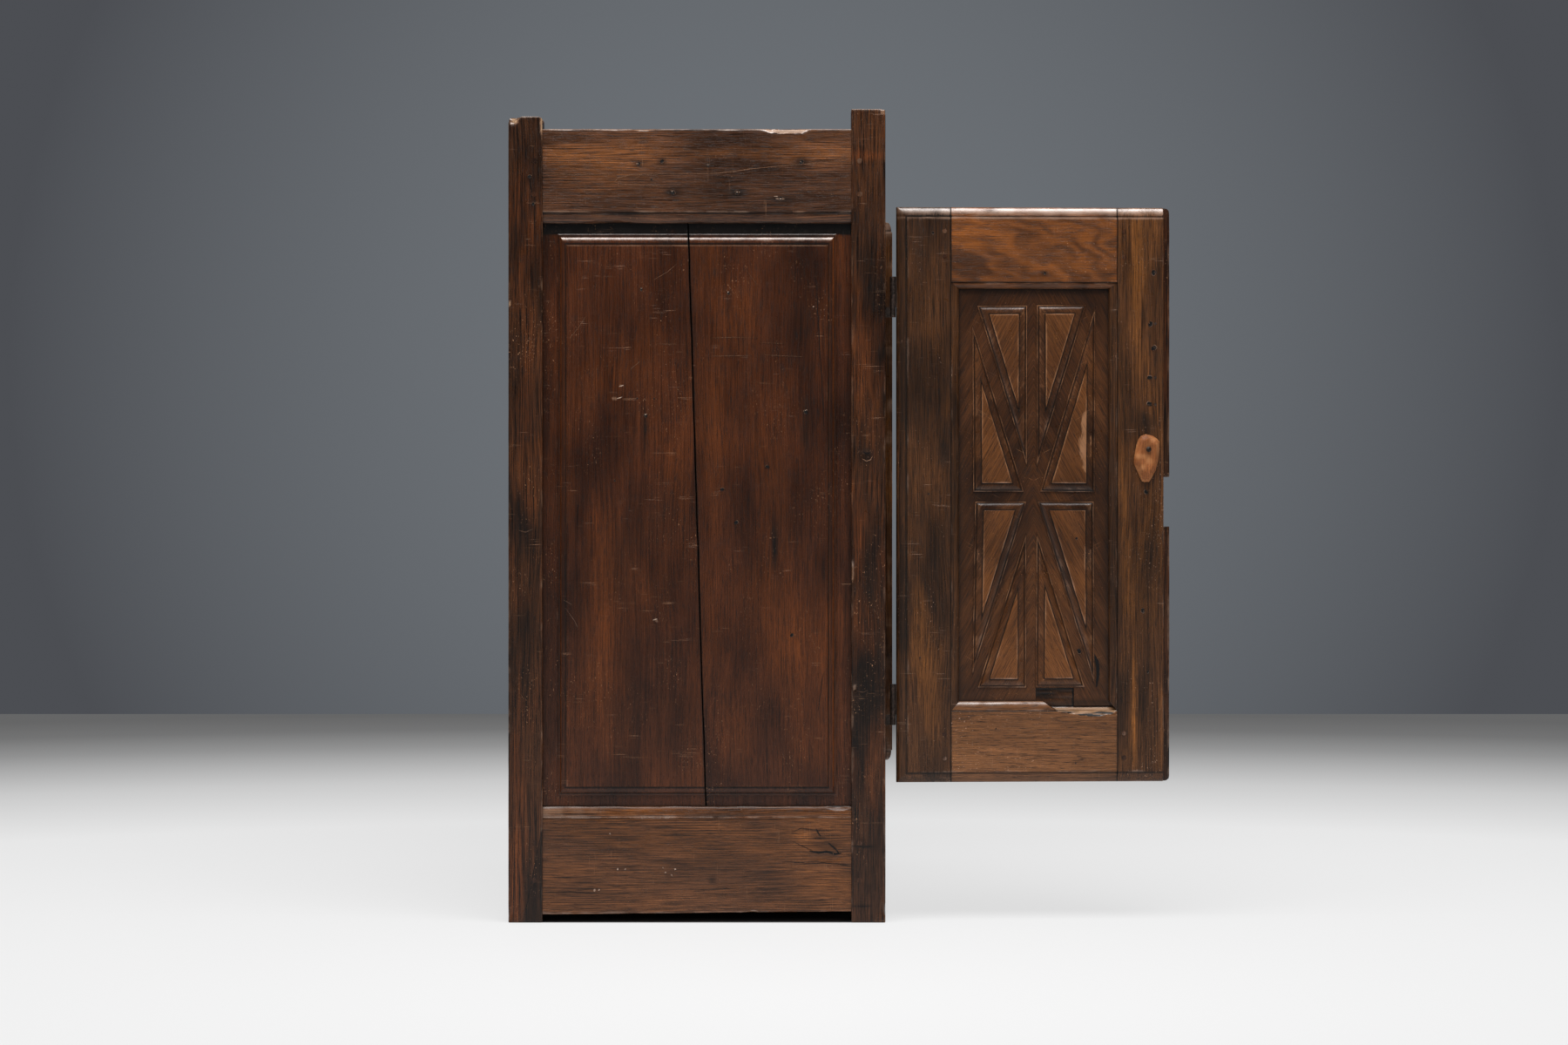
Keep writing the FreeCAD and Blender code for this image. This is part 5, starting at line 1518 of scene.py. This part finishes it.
for side, move, seed in (("left", swung, 80), ("right", mirrored, 100)):
    for index, (kind, (warm, grime_and_shade, nails, finish_wood)) in enumerate(door_members.items()):
        broken = side == "left" and kind == "bottom_rail"
        strip_warm = 0.2 if kind.endswith("rail") else -0.1
        parts = [member_body(kind, seed + 2 * index, warm, grime_and_shade, broken),
                 member_strip(kind, seed + 2 * index + 1, strip_warm, broken)]
        if broken:
            parts.append(torn_backing(118))
        if side == "left":
            parts += nail_marks("xyz", face_y, 300, nails)
        piece(f"{side}_door_{kind}_wood", [move(part) for part in parts], finish_wood, f"{side}_door",
              "door_wood", f"{side}_door_{kind}")
print("door frames made:", tally)

# %% [markdown]
# ## Carved door panels
# The panel is one board, cut back so that eight three-cornered fields stand up from the ground. A
# field has a low step, a hollow slope that flattens, and a raised centre. Its height depends only on
# the distance from its outline, so it is a grid of rings, each at the height that the profile gives.

# %% Outlines and cutting of the fields
ground_y = -11.0
# Corners of each field, as shares of the opening's width and height
carving_shares = (
    ((0.124, 0.959), (0.457, 0.960), (0.454, 0.570)),
    ((0.521, 0.961), (0.851, 0.961), (0.521, 0.570)),
    ((0.090, 0.912), (0.095, 0.508), (0.434, 0.508)),
    ((0.913, 0.957), (0.908, 0.507), (0.541, 0.508)),
    ((0.108, 0.484), (0.451, 0.484), (0.090, 0.065)),
    ((0.525, 0.484), (0.902, 0.484), (0.906, 0.043)),
    ((0.449, 0.406), (0.449, 0.033), (0.125, 0.033)),
    ((0.519, 0.410), (0.513, 0.034), (0.840, 0.034)),
)
# Distance from a field's outline, height above the ground, wear and grime at that place; the wear
# holds painted highlights on the arrises, and the grime painted shade at the foot, at the start of
# the slope and before the raised centre
cutting = np.array((
    (0.0, -0.7, 0.0, 1.2), (0.0, 0.4, 0.0, 1.4), (0.1, 1.3, 0.2, 0.5), (0.35, 1.75, 0.6, 0.0),
    (0.9, 1.8, 0.5, 0.0), (1.6, 1.85, 0.1, 0.2), (2.5, 2.0, 0.0, 1.0), (3.2, 2.8, 0.0, 0.4),
    (4.4, 3.7, 0.25, 0.0), (6.2, 4.3, 0.15, 0.0), (8.4, 4.65, 0.1, 0.0), (11.0, 4.75, 0.05, 0.1),
    (12.4, 4.65, 0.0, 0.9), (12.8, 4.7, 0.0, 1.3), (13.0, 5.6, 0.3, 0.3), (13.3, 6.1, 0.75, 0.0),
    (13.9, 6.25, 0.55, 0.0), (15.3, 6.25, 0.1, 0.0),
))
# Height of the raised centre, the inset where it begins, and the rings across it
centre_height, centre_inset = 6.3, 13
flat_shares = np.linspace(0.12, 0.9, 8)
print("each field has", len(cutting) + len(flat_shares), "rings")

# %% [markdown]
# ## One carved field
# The inner centre of a triangle is equally far from its sides, so an outline that is drawn in
# towards it stays parallel to itself, and every step of the cutting keeps its distance from the
# edge. The grain of the panel slants up from its middle, so the places are turned before use.

# %% One carved field
def chevron(points):
    """Grain that slants up from the middle of the panel.

    With aside = |x - middle|, across is 0.88 aside + 0.47 z and along is 0.88 z - 0.47 aside.
    """
    aside = np.abs(points[:, 0] - (sight_x[0] + sight_x[1]) / 2)
    height = points[:, 2]
    across, along = 0.88 * aside + 0.47 * height, 0.88 * height - 0.47 * aside
    return np.stack((across, points[:, 1], along), axis=1) + 4711.0


def field_rings(shares):
    """Outline of a field, its inner centre and radius, and rings drawn in by 1 - inset / radius."""
    size = np.array((sight_x[1] - sight_x[0], sight_z[1] - sight_z[0]))
    corners = np.array(shares) * size + (sight_x[0], sight_z[0])
    runs = np.roll(corners, -1, axis=0) - corners
    lengths = np.linalg.norm(runs, axis=1)
    opposite = np.roll(lengths, -1)
    centre = (corners * opposite[:, None]).sum(axis=0) / opposite.sum()
    area = abs(runs[0, 0] * runs[1, 1] - runs[0, 1] * runs[1, 0]) / 2
    radius = 2 * area / lengths.sum()
    counts = np.maximum(8, (lengths / 2.6).astype(int))
    rim = np.concatenate([corner + run * (np.arange(count)[:, None] / count)
                          for corner, run, count in zip(corners, runs, counts)])
    insets = np.concatenate((cutting[:, 0], cutting[-1, 0] + (radius - cutting[-1, 0]) * flat_shares))
    return centre + (rim - centre) * (1 - insets / radius)[:, None, None], centre, insets


def carved_field(shares, seed, chips=()):
    """Shell of one field: its rings at the heights of the cutting profile, slightly uneven."""
    rings, centre, insets = field_rings(shares)
    heights = np.concatenate((cutting[:, 1], np.full(len(flat_shares), centre_height)))
    # The wear column carries painted highlights and the grime column painted shade
    worn, dirty = (np.concatenate((cutting[:, column], flat_shares * 0)) for column in (2, 3))
    waver = noise_at(rings[..., 0], rings[..., 1], 0, 17.0, seed)
    height = heights[:, None] * (1 + 0.035 * waver) - 0.12 * np.abs(waver)
    x, z = rings[..., 0] + 0.25 * waver, rings[..., 1] + 0.25 * waver
    points = np.stack((x, ground_y - height, z), axis=-1).reshape(-1, 3)
    poles = np.array(((centre[0], ground_y + 0.7, centre[1]),
                      (centre[0], ground_y - centre_height, centre[1])))
    points, torn, _ = knock(np.concatenate((points, poles)), chips, seed)
    key = points + seed * 47.1
    wear, dirt = (np.append(np.broadcast_to(values[:, None], x.shape).ravel(), (0, 0))
                  for values in (worn, dirty))
    wear = np.maximum(wear * np.clip(0.6 + 0.9 * noise(key, 18.0, seed + 1), 0, 1), torn)
    raised = np.append(np.broadcast_to((insets > centre_inset)[:, None], x.shape).ravel(), (0, 1))
    low_down = np.clip((560 - points[:, 2]) / 200, 0, 1)
    warmth = 0.42 * raised + 0.2 * noise(key, 40.0, seed + 2) + 0.3 * low_down
    finish = np.stack((wear, np.clip(dirt - 2 * torn, 0, 2), warmth), axis=1)
    return shell(points, tube_faces(*x.shape), chevron(points), finish)


# %% [markdown]
# ## Ground of the carving
# Round the fields the board was cut back with a gouge, which left shallow marks. At the lower left
# door a patch of the ground has come away, so the board steps down there and shows split wood.

# %% Ground of the panel
groove_reach = 7.5
patch_x, patch_top, patch_depth = (241.2, 298.6), 347.9, 2.2


def ground_grid():
    """Grid of x and z over the panel, with lines beside the opening and round the patch."""
    x_patch = [edge + way for edge in patch_x for way in (-0.1, 0.1)]
    z_patch = (patch_top + 0.1, *np.arange(patch_top - 0.1, 321, -1.2))
    x = lines(sight_x[0] - groove_reach, sight_x[1] + groove_reach, 3.0, (*sight_x, *x_patch))
    z = lines(sight_z[0] - groove_reach, sight_z[1] + groove_reach, 3.0, (*sight_z, *z_patch))
    return np.meshgrid(x, z, indexing="ij")


def carved_ground(seed, patched):
    """Panel board behind the fields: face with tool marks, and the swell at its back.

    A missing patch is a step down inside a rectangle, with the ridges of split wood in it and a
    painted shadow along its top and right edges. The ground gets painted shade near the opening
    and under the top rail.
    """
    x, z = ground_grid()
    gap = np.minimum(np.minimum(x - sight_x[0], sight_x[1] - x), np.minimum(z - sight_z[0], sight_z[1] - z))
    marks = 0.22 * noise_at(x, 0, z * 0.35, 4.5, seed + 9)
    back = np.where(gap > 1, -2.3, -5.2)
    below_top = np.clip(sight_z[1] - z, 0, None)
    # Painted shade near the edges of the opening and under the top rail
    grime_and_shade = 0.08 + 0.55 * np.exp(-np.clip(gap, 0, None) / 4) + 0.35 * np.exp(-below_top / 9)
    face = ground_y + 0.1 + np.abs(marks)
    if patched:
        inside = (x > patch_x[0]) & (x < patch_x[1]) & (z < patch_top)
        ridges = noise_at(x * 0.1, 0, z, 3.2, seed + 10)
        face = np.where(inside, face + patch_depth + 0.6 * ridges, face)
        # A black painted shadow along the top and right edges of the patch
        rim = np.minimum(np.abs(patch_x[1] - x), np.abs(patch_top - z))
        grime_and_shade = np.where(inside, np.maximum(0.62 + 0.5 * ridges, 2 * (rim < 1.5)), grime_and_shade)
    warm = spots(x, z, ((238, 400, 110, 160, 0.35),))
    made = slab("xyz", x, z, face, back, np.zeros(x.shape), seed, 0.6, warm, grime_and_shade, (), 0.2)
    face_grain = chevron(made["points"][:x.size])
    return {**made, "grain": np.concatenate((face_grain, made["grain"][x.size:]))}


# %% [markdown]
# ## Putting the panels together
# Ground, fields and marks become one object, as the real panel is one board. The left one also has
# a rubbed field, nail holes and a slit.

# %% Both carved panels
# Worn place on a field of the left door: these chips push nothing, they only change the look
worn_patch = (
    ((317, -17.4, 735), (8.5, 1.3, 34), (0, 0, 0), "worn"),
    ((315, -17.4, 706), (12, 1.3, 27), (0, 0, 0), "worn"),
    ((318, -17.4, 684), (8, 1.3, 16), (0, 0, 0), "worn"),
    ((323.5, -13, 716), (2.2, 2.5, 28), (0, 0, 0), "worn"),
)
slit_path = ((326.0, 401.8), (331.5, 393.1), (335.0, 381.4), (335.0, 366.9), (332.5, 349.4))
for side, move, seed in (("left", swung, 130), ("right", mirrored, 160)):
    fields = [carved_field(shares, seed + index, worn_patch if side == "left" else ())
              for index, shares in enumerate(carving_shares)]
    parts = [carved_ground(seed + 20, side == "left")] + fields
    if side == "left":
        parts += [nail_mark("xyz", 306.5, ground_y - 0.6, 403.2, 2.7, 331),
                  crack("xyz", slit_path, -12.0, 5.2, 332),
                  nail_mark("xyz", 302.0, ground_y - 6.2, 573.0, 1.5, 333)]
    piece(f"{side}_door_panel_carving", [move(part) for part in parts], carved_wood, f"{side}_door",
          "carved_wood", f"{side}_door_panel")
print("carving done:", tally)

# %% [markdown]
# ## Meeting strip
# A thin lath is let into the back of the left door's free edge and fills the gap between the two
# doors. A later owner cut a gap for a fingertip in it, so it is two timbers. The outermost corner of
# each is rounded by the ends function: the end moves by r - sqrt(r^2 - (r - d)^2) within the radius.

# %% Two pieces of the strip
strip_x, strip_y, strip_radius = (408.0, 443.7), (-10.2, -0.65), 8.0
strip_section = ((strip_x[0], strip_y[0], 0.8, 0.8), (strip_x[1], strip_y[0], 1.4, 1.4),
                 (strip_x[1], strip_y[1], 1.4, 1.4), (strip_x[0], strip_y[1], 0.8, 0.8))
strip_spans = {"upper": (664.8, 1069.2), "lower": (208.0, 590.4)}


def strip_ends(level):
    """Ends of a strip piece over its width, with the outermost corner rounded off."""
    low, high = strip_spans[level]

    def ends(across):
        cut = soft(np.clip(strip_x[1] - across, 0, None), strip_radius)
        return (low, high - cut) if level == "upper" else (low + cut, high)

    return ends


for index, level in enumerate(strip_spans):
    made = timber("xyz", strip_section, strip_spans[level], 190 + index, 1.0, -0.1, 0.2, pitch=3.0,
                  ends=strip_ends(level), end_cut=1.0)
    piece(f"left_door_strip_{level}_wood", [swung(made)], frame_wood, "left_door", "frame_wood",
          f"left_door_strip_{level}")
print("gap in the strip:", round(strip_spans["upper"][0] - strip_spans["lower"][1], 1), "mm")

# %% [markdown]
# ## Turn-button
# Someone whittled a new button from pale wood and never stained it. Its outline has seventeen
# corners. Rings of that outline shrink towards the crown, the middle is dished round the nail, and a
# coarse noise flattens it into knife facets.

# %% Whittled button
button_x, button_z, button_size = 408.75, 706.698, (38.5, 72.0)
button_base, button_pole = -22.0, 10.0
button_shares = np.array((
    (-0.090, 0.317), (-0.285, 0.274), (-0.376, 0.202), (-0.456, 0.088), (-0.550, -0.184),
    (-0.547, -0.297), (-0.480, -0.393), (-0.242, -0.667), (-0.151, -0.683), (0.044, -0.679),
    (0.104, -0.634), (0.299, -0.441), (0.389, -0.249), (0.450, 0.009), (0.450, 0.153),
    (0.359, 0.218), (0.178, 0.283),
))
# Share of the outline and distance in front of the button's base
button_rings = np.array((
    (0.94, 0.35), (0.99, 0.6), (1.0, 1.6), (1.0, 3.4), (0.985, 4.4), (0.93, 5.8), (0.86, 7.6),
    (0.78, 9.4), (0.7, 10.6), (0.6, 11.0), (0.48, 10.8), (0.36, 10.4), (0.24, 10.1), (0.12, 10.0),
))
points_a_side = 8


def whittled_button(seed):
    """Rings of the outline, each side divided evenly, at the levels of button_rings."""
    after = np.roll(button_shares, -1, axis=0)
    part = np.linspace(0, 1, points_a_side, endpoint=False)[:, None, None]
    rim = (button_shares + (after - button_shares) * part).transpose(1, 0, 2).reshape(-1, 2)
    flat = rim * button_size * button_rings[:, 0][:, None, None]
    level = np.broadcast_to(button_rings[:, 1][:, None], flat.shape[:2])
    rings = np.stack((button_x + flat[..., 0], button_base - level, button_z + flat[..., 1]), axis=-1)
    poles = np.array(((button_x, button_base - 0.35, button_z),
                      (button_x, button_base - button_pole, button_z)))
    points = np.concatenate((rings.reshape(-1, 3), poles))
    high = np.append((level.ravel() - 3).clip(0) / 8, (0, 1))
    facet = noise(points, 13.0, seed) + 0.4 * noise(points, 6.0, seed + 1)
    points[:, 1] += high * np.clip(facet + 0.4, 0, 1.4) * 1.5
    wear = np.clip(0.25 + 0.6 * noise(points, 8.0, seed + 2), 0, 1)
    from_nail = np.linalg.norm(points[:, [0, 2]] - (button_x, button_z), axis=1)
    # Darker round the nail: dirt and painted shade in the dish
    dirt = np.exp(-from_nail / 4.5) * 0.7 + 0.05
    finish = np.stack((wear, dirt, 0.3 * noise(points, 14.0, seed + 3) + 0.3), axis=1)
    return shell(points, tube_faces(*flat.shape[:2]), points + 911.0, finish)


button = swung(whittled_button(200))
piece("turn_button_whittled", [button], raw_wood, "turn_button", "raw_wood", "turn_button")
print("button has", len(button["points"]), "points")

# %% [markdown]
# ## Fittings that keep their CAD shape
# Pegs, nails and hinge leaves are already the right shape and size, so they only get a finish. Their
# materials read Object coordinates, because a CAD node has no grain attribute.

# %% Finish the carried-over fittings
for name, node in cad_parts.items():
    if node.hide_render:
        continue
    fitting = peg_wood if name.endswith("pegs") else iron
    node.data.materials.clear()
    node.data.materials.append(fitting)
print("carried over:", sorted(name for name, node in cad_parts.items() if not node.hide_render))

# %% [markdown]
# ## Studio floor
# The cupboard stands on a white floor in front of a grey wall. The floor ends where the wall would
# begin and darkens towards that line, by two colour ramps on the distance from its lit middle.

# %% Floor
# Middle of the lit part of the floor, and the distance at which its ramps end, in metres
lit_middle, lit_reach = (-0.8, 0.15, 0.0), 6
lit_stops = (
    (0.0, 0.80), (0.9, 0.22), (0.30, 0.80), (0.42, 0.76), (0.55, 0.72), (0.69, 0.48), (0.80, 0.30))
glow_stops = (
    (0.0, 0.71), (0.9, 0.11), (0.15, 0.68), (0.405, 0.67), (0.56, 0.49), (0.717, 0.235), (0.81, 0.14))
floor_corners = [(-9, -9, 0), (4.55, -9, 0), (4.55, 9, 0), (-9, 9, 0)]


def grey_ramp(share, stops):
    """Colour ramp through grey values at the given shares; the first two stops are its ends."""
    ramp = share.node("ShaderNodeValToRGB", {}, {0: share})
    elements = ramp.socket.node.color_ramp.elements
    for index, (place, value) in enumerate(stops):
        stop = elements[index] if index < 2 else elements.new(place)
        stop.position, stop.color = place, (value, value, value, 1.0)
    return ramp


def between(value, length):
    """1 well inside 0 to a length in metres, 0 outside, with a rise of a few millimetres."""
    return value.ramp(0.001, 0.004) * (length - value).ramp(0.001, 0.004)


def floor_material():
    """White floor that fades with the distance from the middle of its lit part.

    Camera and glossy rays see most of it as a glow, so that only a soft shadow is left on it. The
    glow stops under the cupboard, where the floor is really dark.
    """
    material, start, shader = material_start("studio_floor")
    place = object_place(start)
    settings = {"operation": "DISTANCE"}
    reach = start.node("ShaderNodeVectorMath", settings, {0: place, 1: lit_middle}, 1) * (1 / lit_reach)
    lit, glow = grey_ramp(reach, lit_stops), grey_ramp(reach, glow_stops)
    under = between(place.axis(0), width * MM) * between(place.axis(1), depth * MM)
    seen = camera_or_gloss(start)
    plug(start.tree, shader, Base_Color=lit.shaded(1 - seen * 0.78),
         Emission_Color=glow.shaded(seen * (1 - under)))
    fix(shader, Emission_Strength=1.0, Roughness=0.7, Specular_IOR_Level=0.1)
    return material


floor_mesh = bpy.data.meshes.new("studio_floor")
floor_mesh.from_pydata(floor_corners, [], [(0, 1, 2, 3)])
floor = bpy.data.objects.new("studio_floor", floor_mesh)
floor_mesh.materials.append(floor_material())
bpy.context.scene.collection.objects.link(floor)
print("floor corners:", floor_corners)

# %% [markdown]
# ## Wall and fill light
# A real wall would shadow the lamps in other views. So it is only a colour of the world, seen by
# camera and glossy rays, while a plain pale world light fills the shadows.

# %% Wall and fill light
wall_dark, wall_light = (0.072, 0.076, 0.086, 1.0), (0.152, 0.166, 0.182, 1.0)
fill = (0.30, 0.30, 0.305, 1.0)
# The wall is lightest in the direction of view, and this is the cosine where it is darkest
view_way, wall_border = (1.0, 0.0, 0.02), 0.982
world = bpy.data.worlds.new("studio")
world.use_nodes = True
bpy.context.scene.world = world
sky = Wire(world.node_tree)
background = world.node_tree.nodes["Background"]
direction = sky.node("ShaderNodeTexCoord", {}, {}, 0)
facing = sky.node("ShaderNodeVectorMath", {"operation": "DOT_PRODUCT"}, {0: direction, 1: view_way}, 1)
wall = facing.ramp(wall_border, 1.0).blend(wall_dark, wall_light)
plug(sky.tree, background, Color=camera_or_gloss(sky).blend(fill, wall))
fix(background, Strength=1.0)
print("world:", world.name)

# %% [markdown]
# ## Lamps
# One wide soft lamp hangs above the cupboard and a little towards the camera. It draws the pale
# lines on every moulding that faces up. A weak second one, higher and nearer to the camera, opens
# the shadows.

# %% Lamps
def soft_lamp(name, place, aim, size, power):
    """Rectangular area lamp that looks from its place to a point."""
    lamp = bpy.data.lights.new(name, "AREA")
    lamp.shape = "RECTANGLE"
    lamp.size, lamp.size_y = size
    lamp.energy = power
    made = bpy.data.objects.new(name, lamp)
    made.location = place
    way = np.array(aim, float) - np.array(place, float)
    turn = made.rotation_euler
    turn.x = math.atan2(math.hypot(way[0], way[1]), -way[2])
    turn.z = math.atan2(way[1], way[0]) - math.pi / 2
    bpy.context.scene.collection.objects.link(made)


soft_lamp("overhead_softbox", (-1.0, 0.1, 3.4), (-0.1, 0.1, 0.6), (2.8, 1.7), 125)
soft_lamp("front_softbox", (-3.2, 0.1, 4.0), (0.0, 0.2, 0.5), (2.4, 1.6), 22)
print("lamps:", [lamp.name for lamp in bpy.data.lights])

# %% [markdown]
# ## Camera
# The camera stands six metres to the left of the cupboard, level, with a long lens, so that upright
# lines stay upright. Its small shift lifts the picture as in the photograph.

# %% Camera
camera_place, lens, sensor = (-5.980, 0.152, 0.721), 92.0, 36.0
# Pixels by which the picture is shifted, and its width in pixels
picture_shift, picture_width = -95, 1800
camera_data = bpy.data.cameras.new("camera")
camera_data.lens, camera_data.sensor_width = lens, sensor
camera_data.shift_y = picture_shift / picture_width
camera = bpy.data.objects.new("camera", camera_data)
camera.location = camera_place
camera.rotation_euler = (math.pi / 2, 0, -math.pi / 2)
bpy.context.scene.collection.objects.link(camera)
bpy.context.scene.camera = camera
bpy.context.scene.view_settings.view_transform = "Standard"
print("made", tally)
